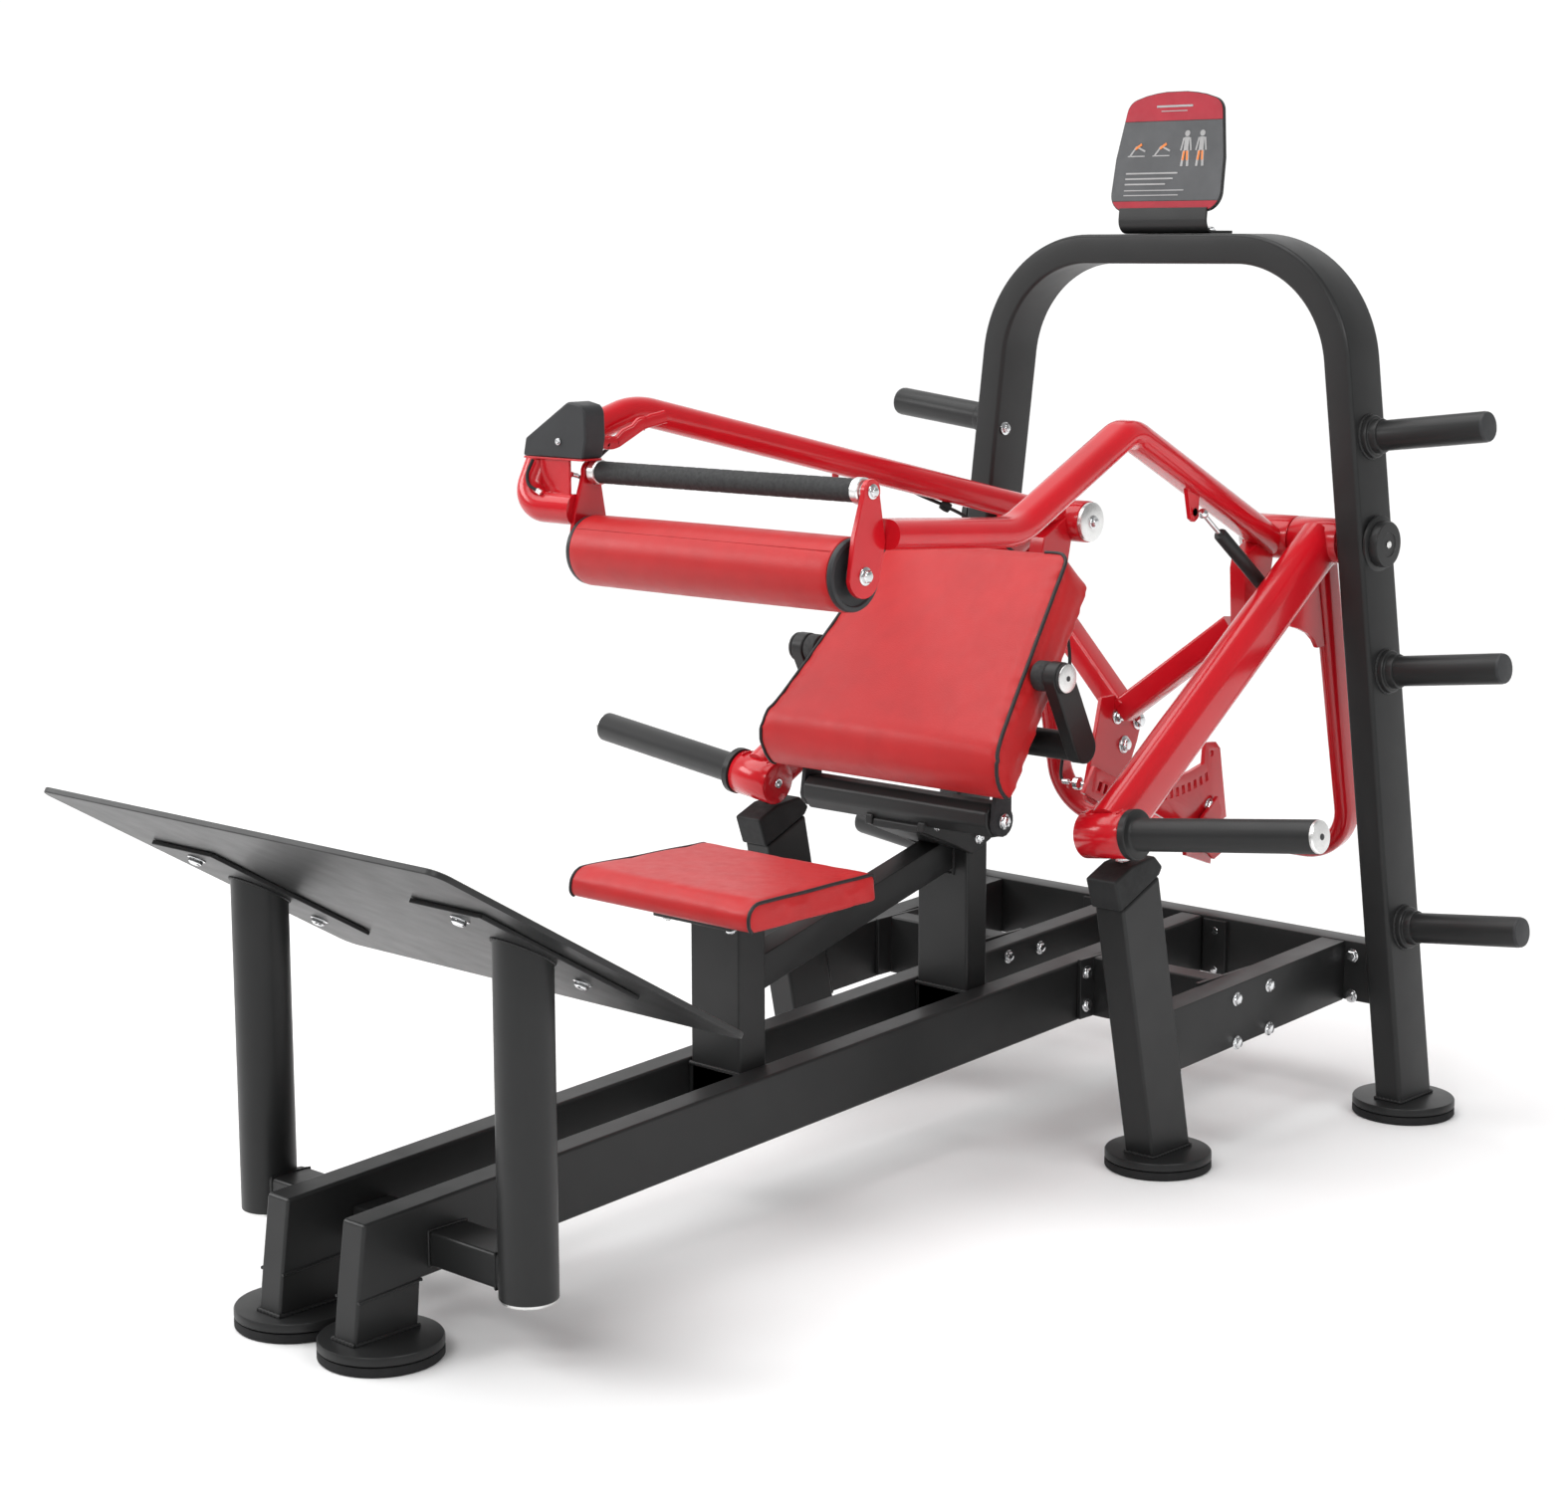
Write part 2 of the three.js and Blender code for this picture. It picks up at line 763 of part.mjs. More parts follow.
const loadProfile = [
  [0, 0],
  [HORN_R, 0],
  [HORN_R, 76],
  [38, 76.4],
  [38, 90],
  [HORN_R, 91],
  [HORN_R, 404],
  [0, 404],
];
addPair("weight_horn", turned(loadProfile, 20, alongHub(4.6), hubAxis), BLACK);

// U tube that ties the two arms together under the axle; it leans backwards.
const uLean = 0.216;
const uPoint = (x, z) => v(x, PIVOT_Y + uLean * (PIVOT_Z - z), z);
const U_LOW = 390;
const uPath = rounded(
  [uPoint(302, 888), uPoint(302, U_LOW), uPoint(-302, U_LOW), uPoint(-302, 888)],
  [85, 85],
  5,
);
const uAcross = v(0, 1, uLean).normalize();
const uTube = sweep(uPath, uAcross, roundBox(50, 32, 15.9, 3), roundBox(44, 26, 12.9, 3));
const sleeveSpace = rod(v(-360, PIVOT_Y, PIVOT_Z), v(360, PIVOT_Y, PIVOT_Z), SLEEVE_R + GAP, 24);
const armSpace = sweep(
  [alongArm(0), alongArm(260)],
  armWide,
  roundBox(86 + 2 * GAP, 56 + 2 * GAP, 28.2, 4),
);
add("u_tube", cut(uTube, sleeveSpace, armSpace, mirrored(armSpace)), RED);

// Sector plate with its row of slots, standing on the U tube.
function polar(r, degrees) {
  const a = THREE.MathUtils.degToRad(degrees);
  return [PIVOT_Y - r * Math.cos(a), PIVOT_Z - r * Math.sin(a)];
}
const slots = [...Array(SECTOR_SLOTS)].map((_, i) => {
  const a = SECTOR_FIRST + SECTOR_STEP * i;
  const half = 0.55;
  return [
    polar(SECTOR_R - 8, a - half),
    polar(SECTOR_R + 8, a - half),
    polar(SECTOR_R + 8, a + half),
    polar(SECTOR_R - 8, a + half),
  ];
});
const sectorOutline = [
  ...[...Array(7)].map((_, i) => polar(484, 61.2 + 4 * i)),
  [925, 398],
  [934, 350],
  [1008, 324],
  [1016, 392],
  [1054, 402],
  [1030, 528],
  [1016, 541],
  [986, 543],
  ...[...Array(9)].map((_, i) => polar(434, 105 - 5.4 * i)),
];
add(
  "sector_plate",
  cut(
    sidePlate(sectorOutline, -4, 4, slots),
    sweep(uPath, uAcross, roundBox(50 + 2 * GAP, 32 + 2 * GAP, 16.2, 3)),
    rod(v(-10, 1004, 522), v(10, 1004, 522), 6, 12),
  ),
  RED,
);

// ---------------------------------------------------------------- hip yoke
const yokeSection = roundBox(58, 42, 20.9, 3);
const yokeHollow = roundBox(52, 36, 17.9, 2);
const yokeSleeve = rod(
  v(YOKE_SLEEVE[0], PIVOT_Y, PIVOT_Z),
  v(YOKE_SLEEVE[1], PIVOT_Y, PIVOT_Z),
  SLEEVE_R,
  24,
);
const yokeLever = sidePlate(
  [[852, 900], [836, 935], [774, 905], [768, 880], [774, 790], [796, 752], [822, 770]],
  192,
  222,
);
const rightPath = rounded(
  [
    v(214, 862, 915),
    v(250, 400, 1123),
    v(275, 95, 992),
    v(275, -187, 1010),
  ],
  [62, 140],
  4,
);
add(
  "yoke_right",
  cut(
    join(
      sweep(rightPath, v(1, 0, 0), yokeSection),
      yokeSleeve,
      yokeLever,
      sidePlate([[566, 1040], [604, 1022], [602, 976], [582, 976]], 236, 245),
    ),
    sweep(rightPath.slice(2), v(1, 0, 0), yokeHollow),
    bore,
  ),
  RED,
);
const leftPath = rounded(
  [
    v(-214, 862, 930),
    v(-362, -40, 1152),
    v(-364, -225, 1097),
    v(-366, -264, 1018),
    v(-262, -240, 1014),
  ],
  [120, 50, 34],
  4,
);
add(
  "yoke_left",
  cut(
    join(
      sweep(leftPath, v(1, 0, 0), roundBox(46, 46, 22.9, 3)),
      box(-345, -283, -252, -247, 1034.6, 1090.6),
      box(-378, -251, -255, -215, 1087.6, 1090.6),
      mirrored(yokeSleeve),
      mirrored(yokeLever),
    ),
    sweep(leftPath.slice(1), v(1, 0, 0), roundBox(40, 40, 19.9, 2)),
    mirrored(bore),
    box(-279.4, -200, -400, -100, 900, 1100),
  ),
  RED,
);

// V frame hanging from the yoke levers, with the plate that carries the pull pin.
const vArm = sweep(
  [v(188, 792, 782), v(12, 750, 636)],
  v(0, 1, 0),
  roundBox(40, 40, 4, 1),
  roundBox(34, 34, 3, 1),
);
const leverSpace = box(192 - GAP, 230, 700, 900, 700, 860);
const pinAt = polar(SECTOR_R, SECTOR_FIRST);
const pinPlate = [
  [694, 655],
  [680, 600],
  [655, 512],
  [656, 486],
  [678, 474],
  [704, 484],
  [774, 528],
  [796, 570],
  [812, 614],
  [800, 640],
  [772, 655],
];
add(
  "v_frame",
  cut(
    join(
      vArm,
      mirrored(vArm),
      box(-34, 34, 724, 774, 613, 663),
      sidePlate(pinPlate, -13, -5),
    ),
    rod(v(-30, pinAt[0], pinAt[1]), v(0, pinAt[0], pinAt[1]), 5, 12),
    leverSpace,
    mirrored(leverSpace),
  ),
  RED,
);
add(
  "pull_pin",
  join(
    rod(v(-46, pinAt[0], pinAt[1]), v(-4.8, pinAt[0], pinAt[1]), 3.9, 12),
    rod(v(-44, pinAt[0], pinAt[1]), v(-14, pinAt[0], pinAt[1]), 11, 16),
  ),
  STEEL,
);

// Roller brackets, grip bar and roller.
const bracketOutline = [
  ...arcPoints(ROLLER_Y, ROLLER_Z, 31, 190, 350, 10),
  [-188, 1000],
  ...arcPoints(BAR_Y, BAR_Z, 17, -20, 190, 8),
  [-252, 1010],
];
const bracketBore = (x0, x1) => rod(v(x0, ROLLER_Y, ROLLER_Z), v(x1, ROLLER_Y, ROLLER_Z), 6.4, 12);
const bracket = cut(sidePlate(bracketOutline, 270.6, 279), bracketBore(260, 290));
add("roller_bracket_right", bracket, RED);
const farBracket = cut(sidePlate(bracketOutline, -279, -270.6), bracketBore(-290, -260));
add("roller_bracket_left", farBracket, RED);

const barAt = (x) => v(x, BAR_Y, BAR_Z);
add("grip_bar", rod(barAt(-270.2), barAt(270.2), 16.5), RUBBER);
const rollerAt = (x) => v(x, ROLLER_Y, ROLLER_Z);
add(
  "hip_roller",
  turned(
    [
      [0, 0],
      [6, 0],
      [6, 8],
      [50, 8],
      [50, 16],
      [ROLLER_R, 19],
      [ROLLER_R, 521],
      [50, 524],
      [50, 532],
      [6, 532],
      [6, 540],
      [0, 540],
    ],
    24,
    rollerAt(-270),
    v(1, 0, 0),
  ),
  VINYL,
);

// Hood over the release lever at the left front of the yoke, open at the back.
const hoodOutline = [
  [-379, 1091],
  [-250, 1091],
  [-243, 1120],
  [-244, 1150],
  [-259, 1171],
  [-276, 1174],
  [-291, 1169],
  [-373, 1118],
];
const hoodInside = [
  [-375.5, 1085],
  [-253.4, 1085],
  [-246.2, 1120],
  [-247, 1149],
  [-260.6, 1168],
  [-276, 1170.8],
  [-290, 1166],
  [-370, 1116],
];
const leftTubeSpace = sweep(
  leftPath,
  v(1, 0, 0),
  roundBox(46 + 2 * GAP, 46 + 2 * GAP, 23, 3),
);
add(
  "lever_cover",
  cut(frontPlate(hoodOutline, -256, -214), frontPlate(hoodInside, -253, -210), leftTubeSpace),
  BLACK,
);
const leverPath = rounded(
  [v(-330, -164, 1112), v(-320, -126, 1104), v(-308, -74, 1134), v(-300, -34, 1142)],
  [30, 40],
  4,
);
add("release_lever", sweep(leverPath, v(1, 0, 0), roundBox(10, 22, 4.9, 2)), RED);

// Release cable: out of the cover's foot, behind the left tube and down to the pull pin. Its sleeve
// ends short of the knob's pulled place.
const cablePath = new THREE.CatmullRomCurve3([
  v(-340, -190, 1060),
  v(-345, -150, 1052),
  v(-375, -110, 1076),
  v(-388, 0, 1126),
  v(-380, 60, 1126),
  v(-344, 240, 1082),
  v(-310, 440, 1033),
  v(-287, 560, 984),
  v(-262, 592, 966),
  v(-236, 640, 935),
  v(-150, 700, 850),
  v(-86, 706, 740),
  v(-84, pinAt[0] + 14, pinAt[1] + 60),
  v(-78, pinAt[0] + 1, pinAt[1] + 8),
  v(-62, pinAt[0], pinAt[1]),
]).getPoints(44);
add("release_cable", sweep(cablePath, v(1, 0, 0), ring(3, 8)), RUBBER);

// Gas spring between the yoke and the right weight arm.
const gasTop = v(258, 592, 986);
const gasFoot = v(269, 762, 850);
const gasDir = gasTop.clone().sub(gasFoot).normalize();
const alongGas = (d) => gasFoot.clone().addScaledVector(gasDir, d);
add(
  "gas_cylinder",
  cut(
    rod(alongGas(8), alongGas(160), 11, 18),
    rod(alongGas(16), alongGas(165), 4.4, 12),
  ),
  BLACK,
);
add(
  "gas_rod",
  join(rod(alongGas(60), alongGas(210), 3.9, 12), rod(alongGas(208), alongGas(222), 8, 12)),
  STEEL,
);

export default machine;
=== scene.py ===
import math

import bmesh
import bpy
from mathutils import Matrix, Vector, noise


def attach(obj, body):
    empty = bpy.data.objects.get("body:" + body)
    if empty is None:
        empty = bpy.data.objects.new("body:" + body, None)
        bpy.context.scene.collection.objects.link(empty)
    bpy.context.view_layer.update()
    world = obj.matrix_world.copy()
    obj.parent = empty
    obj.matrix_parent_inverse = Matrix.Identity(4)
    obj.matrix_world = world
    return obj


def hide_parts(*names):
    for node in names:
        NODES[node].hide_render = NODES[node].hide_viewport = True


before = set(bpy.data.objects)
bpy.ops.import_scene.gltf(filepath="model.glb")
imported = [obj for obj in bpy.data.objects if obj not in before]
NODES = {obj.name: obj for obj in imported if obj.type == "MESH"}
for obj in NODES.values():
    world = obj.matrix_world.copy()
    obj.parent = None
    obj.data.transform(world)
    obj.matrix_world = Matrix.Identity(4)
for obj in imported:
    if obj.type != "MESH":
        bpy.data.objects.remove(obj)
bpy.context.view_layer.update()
scene = bpy.context.scene

# Millimetres in the machine's drawing frame: X across, Y towards the arch, Z up from the floor.
MIDDLE_Y = 25.0  # from the drawing's Y to the frame's Y
SIDES = (("right", 1), ("left", -1))
PIVOT = (870.0, 926.0)  # Y and Z of the main axis
RAIL_X = (55.0, 99.0)
LEG_X, LEG_LEAN, LEG_W = 489.6, 0.117, 48.6
PAD_TILT = math.atan2(0.741, 0.672)
HINGE = (180.0, 546.0)
ROLLER = (-231.0, 956.0)
GRIP_BAR = (-216.0, 1070.0)
SECTOR_R = 460.0
PIN = 65.5  # the pull pin's place on the sector, in degrees
RAIL_DEPTH = 99.0
STRUT_Z = (103, 150)
STRUT_Y = (-876, -811)
BACK_POST = (274, 324)
SEAT_POST = (-242, -186)
SLEEVE_END, SLEEVE_R = 34.5, 36


def place(x, y, z):
    return Vector((x, y + MIDDLE_Y, z)) / 1000.0


def rail_top(y):
    return 183.4 + 0.049 * (y + 980.0)


def leg_x(z):
    return LEG_X - LEG_LEAN * z


def on_pad(s, n):
    """Y and Z of a point s up the back pad's face and n out of it."""
    return (
        s * math.cos(PAD_TILT) - n * math.sin(PAD_TILT),
        s * math.sin(PAD_TILT) + n * math.cos(PAD_TILT),
    )


def polar(radius, degrees):
    a = math.radians(degrees)
    return (PIVOT[0] - radius * math.cos(a), PIVOT[1] - radius * math.sin(a))


# ---- camera
def make_camera():
    data = bpy.data.cameras.new("camera")
    data.lens = 67.62
    data.sensor_width = 36.0
    data.sensor_fit = "HORIZONTAL"
    camera = bpy.data.objects.new("camera", data)
    scene.collection.objects.link(camera)
    turn = (
        Matrix.Rotation(math.radians(42.785), 4, "Z")
        @ Matrix.Rotation(math.radians(90.0 - 9.759), 4, "X")
        @ Matrix.Rotation(math.radians(-0.139), 4, "Z")
    )
    camera.matrix_world = Matrix.Translation(place(2902.2, -3228.3, 1399.8)) @ turn
    scene.camera = camera


make_camera()


# ---- materials
class Shader:
    """A Principled material built from object coordinates."""

    def __init__(self, name, rough, metal=0.0, specular=0.5):
        self.material = bpy.data.materials.new(name)
        self.material.use_nodes = True
        self.tree = self.material.node_tree
        self.main = self.tree.nodes["Principled BSDF"]
        self.main.inputs["Metallic"].default_value = metal
        self.main.inputs["Roughness"].default_value = rough
        self.main.inputs["Specular IOR Level"].default_value = specular
        self.coords = self.add("ShaderNodeTexCoord").outputs["Object"]

    def add(self, kind, **values):
        node = self.tree.nodes.new(kind)
        for key, value in values.items():
            if key in node.inputs:
                node.inputs[key].default_value = value
            else:
                setattr(node, key, value)
        return node

    def link(self, a, b):
        self.tree.links.new(a, b)
        return self

    def noise(self, scale, detail=4.0, stretch=(1, 1, 1)):
        vector = self.coords
        if stretch != (1, 1, 1):
            mapping = self.add("ShaderNodeMapping", Scale=stretch)
            self.link(self.coords, mapping.inputs["Vector"])
            vector = mapping.outputs["Vector"]
        node = self.add("ShaderNodeTexNoise", Scale=scale, Detail=detail)
        self.link(vector, node.inputs["Vector"])
        return node.outputs["Fac"]

    def cells(self, scale, feature="F1"):
        node = self.add("ShaderNodeTexVoronoi", feature=feature, Scale=scale)
        self.link(self.coords, node.inputs["Vector"])
        return node.outputs["Distance"]

    def spread(self, value, low, high, start=0.3, end=0.7):
        ends = {"From Min": start, "From Max": end, "To Min": low, "To Max": high}
        node = self.add("ShaderNodeMapRange", **ends)
        self.link(value, node.inputs["Value"])
        return node.outputs["Result"]

    def mottle(self, value, base, step, low, high, middle=0.5):
        """The base colour, a step darker where the value is low and a step lighter where it is high."""
        ramp = self.add("ShaderNodeValToRGB")
        elements = ramp.color_ramp.elements
        elements.new(0.5)
        for element, position, side in zip(elements, (low, middle, high), (-1, 0, 1)):
            element.position = position
            element.color = (*(c * (1.0 + side * step) for c in base), 1.0)
        self.link(value, ramp.inputs["Fac"])
        self.link(ramp.outputs["Color"], self.main.inputs["Base Color"])
        return self

    def bump(self, *layers):
        normal = None
        for value, strength, distance in layers:
            node = self.add("ShaderNodeBump", Strength=strength, Distance=distance)
            self.link(value, node.inputs["Height"])
            if normal:
                self.link(normal, node.inputs["Normal"])
            normal = node.outputs["Normal"]
        self.link(normal, self.main.inputs["Normal"])
        return self

    def rough(self, value, low, high):
        self.link(self.spread(value, low, high), self.main.inputs["Roughness"])
        return self

    def coat(self, weight, rough):
        self.main.inputs["Coat Weight"].default_value = weight
        self.main.inputs["Coat Roughness"].default_value = rough
        return self


def painted(name, base, rough, coat, grain, specular):
    s = Shader(name, rough, specular=specular)
    s.mottle(s.noise(7.0, 6.0), base, 0.07, 0.35, 0.68)
    s.rough(s.noise(23.0, 8.0), rough * 0.94, rough * 1.07)
    s.bump((s.noise(520.0, 3.0), grain, 0.0004), (s.noise(90.0, 2.0), 0.02, 0.0006))
    return s.coat(coat, 0.12).material


def vinyl(name, base, rough):
    s = Shader(name, rough, specular=0.3)
    s.mottle(s.noise(26.0, 9.0), base, 0.045, 0.32, 0.7)
    s.rough(s.noise(60.0, 6.0), rough * 0.9, rough * 1.12)
    pebble = s.spread(s.cells(620.0, "SMOOTH_F1"), 0.0, 1.0, 0.1, 0.7)
    s.bump((pebble, 0.22, 0.0005), (s.noise(38.0, 5.0), 0.1, 0.0012))
    return s.coat(0.06, 0.3).material


def rubbery(name, base, rough):
    s = Shader(name, rough, specular=0.25)
    s.mottle(s.noise(30.0, 8.0), base, 0.22, 0.3, 0.72)
    s.rough(s.noise(120.0, 5.0), rough * 0.88, rough * 1.1)
    s.bump((s.noise(900.0, 4.0), 0.3, 0.0005), (s.cells(340.0), 0.12, 0.0004))
    return s.material


def foam_grip(name, base):
    s = Shader(name, 0.7)
    # Painted shade and painted highlight: the foam is coloured a step darker in the pits of the same cells
    # the bump uses, and a step lighter on the ridges between them.
    s.mottle(s.cells(1100.0), base, 0.25, 0.1, 0.8, middle=0.4)
    s.rough(s.noise(200.0, 5.0), 0.6, 0.82)
    s.bump((s.cells(1100.0), 0.5, 0.0005), (s.noise(60.0, 3.0), 0.1, 0.001))
    return s.material


def metal(name, base, rough, stretch=(1, 1, 1)):
    s = Shader(name, rough, metal=1.0)
    s.mottle(s.noise(40.0, 6.0), base, 0.06, 0.35, 0.65)
    s.rough(s.noise(260.0, 8.0, stretch), rough * 0.7, rough * 1.35)
    s.bump((s.noise(500.0, 6.0, stretch), 0.06, 0.0002))
    return s.material


def plastic(name, base, rough, grain):
    s = Shader(name, rough, specular=0.32)
    s.mottle(s.noise(18.0, 6.0), base, 0.08, 0.35, 0.66)
    s.rough(s.noise(90.0, 6.0), rough * 0.88, rough * 1.14)
    s.bump((s.noise(1300.0, 2.0), grain, 0.0003))
    return s.material


BLACK = painted("black_powder_coat", (0.016, 0.0163, 0.0165), 0.42, 0.04, 0.14, 0.3)
RED = painted("red_gloss_paint", (0.53, 0.006, 0.013), 0.22, 0.38, 0.035, 0.34)
VINYL = vinyl("red_vinyl", (0.47, 0.014, 0.016), 0.42)
PIPING = vinyl("black_vinyl_piping", (0.018, 0.017, 0.018), 0.45)
BOARD = plastic("black_board", (0.022, 0.022, 0.024), 0.6, 0.2)
RUBBER = rubbery("black_rubber", (0.013, 0.013, 0.0135), 0.72)
BUMPER = rubbery("bumper_rubber", (0.018, 0.0185, 0.019), 0.6)
GRIP = foam_grip("grip_foam", (0.02, 0.0205, 0.021))
SLEEVE = rubbery("cable_sleeve", (0.016, 0.016, 0.0165), 0.5)
CHROME = metal("bright_chrome", (0.72, 0.73, 0.74), 0.16)
CAP = metal("brushed_aluminium", (0.82, 0.82, 0.81), 0.32, (1, 1, 9))
PLASTIC = plastic("black_plastic", (0.028, 0.029, 0.031), 0.42, 0.1)
SIGN_GREY = plastic("sign_grey", (0.085, 0.088, 0.092), 0.5, 0.03)
SIGN_RED = plastic("sign_red", (0.36, 0.02, 0.035), 0.5, 0.03)
SIGN_PALE = plastic("sign_pale", (0.36, 0.36, 0.36), 0.5, 0.03)
SIGN_ORANGE = plastic("sign_orange", (0.75, 0.22, 0.05), 0.45, 0.03)


# ---- shapes: (points, faces)
def merged(*shapes):
    points, faces = [], []
    for some, their in shapes:
        base = len(points)
        points += some
        faces += [tuple(i + base for i in face) for face in their]
    return points, faces


def flipped(shape):
    points, faces = shape
    return [(-x, y, z) for x, y, z in points], [tuple(reversed(f)) for f in faces]


def both(shape):
    return merged(shape, flipped(shape))


def loops(rings):
    """Skin between rings of equal size, closed at both ends."""
    n = len(rings[0])
    points = [tuple(p) for ring in rings for p in ring]
    faces = []
    for i in range(len(rings) - 1):
        for j in range(n):
            q = (j + 1) % n
            faces.append((i * n + j, i * n + q, (i + 1) * n + q, (i + 1) * n + j))
    faces.append(tuple(reversed(range(n))))
    faces.append(tuple(range((len(rings) - 1) * n, len(rings) * n)))
    return points, faces


def circle(r, n=40):
    return [(r * math.cos(2 * math.pi * i / n), r * math.sin(2 * math.pi * i / n)) for i in range(n)]


def round_box(w, h, r, n=8):
    out = []
    for q, (sx, sy) in enumerate(((1, -1), (1, 1), (-1, 1), (-1, -1))):
        for i in range(n + 1):
            a = math.pi / 2 * (q - 1 + i / n)
            out.append((sx * (w / 2 - r) + r * math.cos(a), sy * (h / 2 - r) + r * math.sin(a)))
    return out


def carried(path, side):
    """Each point of a path with two directions square to it, which don't twist on the way."""
    path = [Vector(p) for p in path]
    u = Vector(side)
    for i, p in enumerate(path):
        t = (path[min(i + 1, len(path) - 1)] - path[max(i - 1, 0)]).normalized()
        u = (u - t * u.dot(t)).normalized()
        yield p, u, t.cross(u)


def sweep(path, side, outline):
    return loops([[p + u * a + w * b for a, b in outline] for p, u, w in carried(path, side)])


def square_to(along):
    """Two directions square to an axis and to each other."""
    u = Vector((0, 1, 0)) if abs(along.x) > 0.9 else Vector((1, 0, 0))
    u = (u - along * u.dot(along)).normalized()
    return u, along.cross(u)


def turned(profile, origin, along, n=48):
    """A profile of (radius, distance) turned about an axis."""
    origin, along = Vector(origin), Vector(along).normalized()
    u, w = square_to(along)
    rings = []
    for r, d in profile:
        rings.append([origin + along * d + u * a + w * b for a, b in circle(max(r, 0.02), n)])
    return loops(rings)


def rod(a, b, r, n=40, edge=1.0):
    along = Vector(b) - Vector(a)
    d = along.length
    return turned([(r - edge, 0), (r, edge), (r, d - edge), (r - edge, d)], a, along, n)


def prism(outline, x0, x1):
    """An outline of (y, z) points between two X values."""
    return loops([[(x, y, z) for y, z in outline] for x in (x0, x1)])


def box(x0, x1, y0, y1, z0, z1):
    return prism([(y0, z0), (y1, z0), (y1, z1), (y0, z1)], x0, x1)


def arc(cy, cz, r, start, end, n=8):
    out = []
    for i in range(n + 1):
        a = math.radians(start + (end - start) * i / n)
        out.append((cy + r * math.cos(a), cz + r * math.sin(a)))
    return out


def rounded(points, radii, steps=12):
    """The points of a polyline with its inner corners rounded."""
    points = [Vector(p) for p in points]
    out = [points[0]]
    for before, corner, after, radius in zip(points, points[1:], points[2:], radii):
        a = (before - corner).normalized()
        b = (after - corner).normalized()
        half = a.angle(b) / 2
        centre = corner + (a + b).normalized() * (radius / math.sin(half))
        start = (corner + a * (radius / math.tan(half)) - centre).normalized()
        end = (corner + b * (radius / math.tan(half)) - centre).normalized()
        out += [centre + start.slerp(end, k / steps) * radius for k in range(steps + 1)]
    return out + [points[-1]]


def smooth_path(points, steps=10):
    """A Catmull-Rom curve through the points."""
    points = [Vector(p) for p in points]
    ends = [points[0] * 2 - points[1]] + points + [points[-1] * 2 - points[-2]]
    out = []
    for a, b, c, d in zip(ends, ends[1:], ends[2:], ends[3:]):
        for k in range(steps):
            t = k / steps
            out.append(
                0.5 * ((b * 2) + (c - a) * t + (a * 2 - b * 5 + c * 4 - d) * t * t
                       + (b * 3 - a - c * 3 + d) * t * t * t)
            )
    return out + [points[-1]]


def bead(points, r=3.2, closed=True):
    """A rippled weld bead along a path."""
    points = [Vector(p) for p in points]
    dense = []
    pairs = list(zip(points, points[1:] + points[:1])) if closed else list(zip(points, points[1:]))
    for a, b in pairs:
        count = max(1, round((b - a).length / 2.2))
        dense += [a.lerp(b, k / count) for k in range(count)]
    dense.append(points[0] if closed else points[-1])
    rings = []
    for i, (p, u, w) in enumerate(carried(dense, (0.3, 0.5, 0.8))):
        size = r * (0.86 + 0.18 * math.sin(i * 1.9) + 0.12 * noise.noise(p * 0.05))
        rings.append([p + u * a + w * b for a, b in circle(size, 8)])
    return loops(rings)


def square(x, y0, y1, z):
    """The corners of a level rectangle."""
    return [(-x, y0, z), (x, y0, z), (x, y1, z), (-x, y1, z)]


def bolt(centre, along, r=8.0):
    """A hexagon head with its chamfer, on a washer."""
    washer = turned([(r * 1.3, 0), (r * 1.5, 0.3), (r * 1.5, 1.6), (r * 1.42, 2)], centre, along, 28)
    head_profile = [(r * 1.12, 2), (r * 1.15, 2.4), (r * 1.15, r * 0.75), (r * 0.98, r * 0.9)]
    head = turned(head_profile, centre, along, 6)
    crown = turned([(r * 0.9, r * 0.85), (r * 0.8, r * 1.02), (r * 0.4, r * 1.1)], centre, along, 20)
    return merged(washer, head, crown)


# ---- pieces
def finish_mesh(mesh, angle):
    bm = bmesh.new()
    bm.from_mesh(mesh)
    bmesh.ops.recalc_face_normals(bm, faces=bm.faces)
    bm.to_mesh(mesh)
    bm.free()
    mesh.shade_smooth()
    mesh.set_sharp_from_angle(angle=math.radians(angle))


def piece(name, shape, look, body="frame", bevel=0.0, angle=38, stands_for=()):
    points, faces = shape
    mesh = bpy.data.meshes.new(name)
    mesh.from_pydata([place(*p) for p in points], [], faces)
    mesh.materials.append(look)
    finish_mesh(mesh, angle)
    made = bpy.data.objects.new(name, mesh)
    scene.collection.objects.link(made)
    if bevel:
        add_bevel(made, bevel)
    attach(made, body)
    if stands_for:
        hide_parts(*stands_for)
    return made


def add_bevel(made, width):
    made.data.shade_smooth()
    modifier = made.modifiers.new("edges", "BEVEL")
    modifier.width = width / 1000.0
    modifier.segments = 3
    modifier.limit_method = "ANGLE"
    modifier.angle_limit = math.radians(32)
    modifier.harden_normals = True


def skin(node, shape, look, body="frame", bevel=0.0, angle=38):
    """A piece in a CAD node's place."""
    piece(node + "_skin", shape, look, body, bevel, angle, (node,))


def pair(name, shape, look, body="frame", bevel=0.0, angle=38):
    """A skin for the right node, and its mirror image for the left one."""
    skin(name + "_right", shape, look, body, bevel, angle)
    skin(name + "_left", flipped(shape), look, body, bevel, angle)


def detail(name, shape, look, body="frame", bevel=0.0):
    """A pair that stands for no CAD node."""
    piece(name + "_right_skin", shape, look, body, bevel)
    piece(name + "_left_skin", flipped(shape), look, body, bevel)


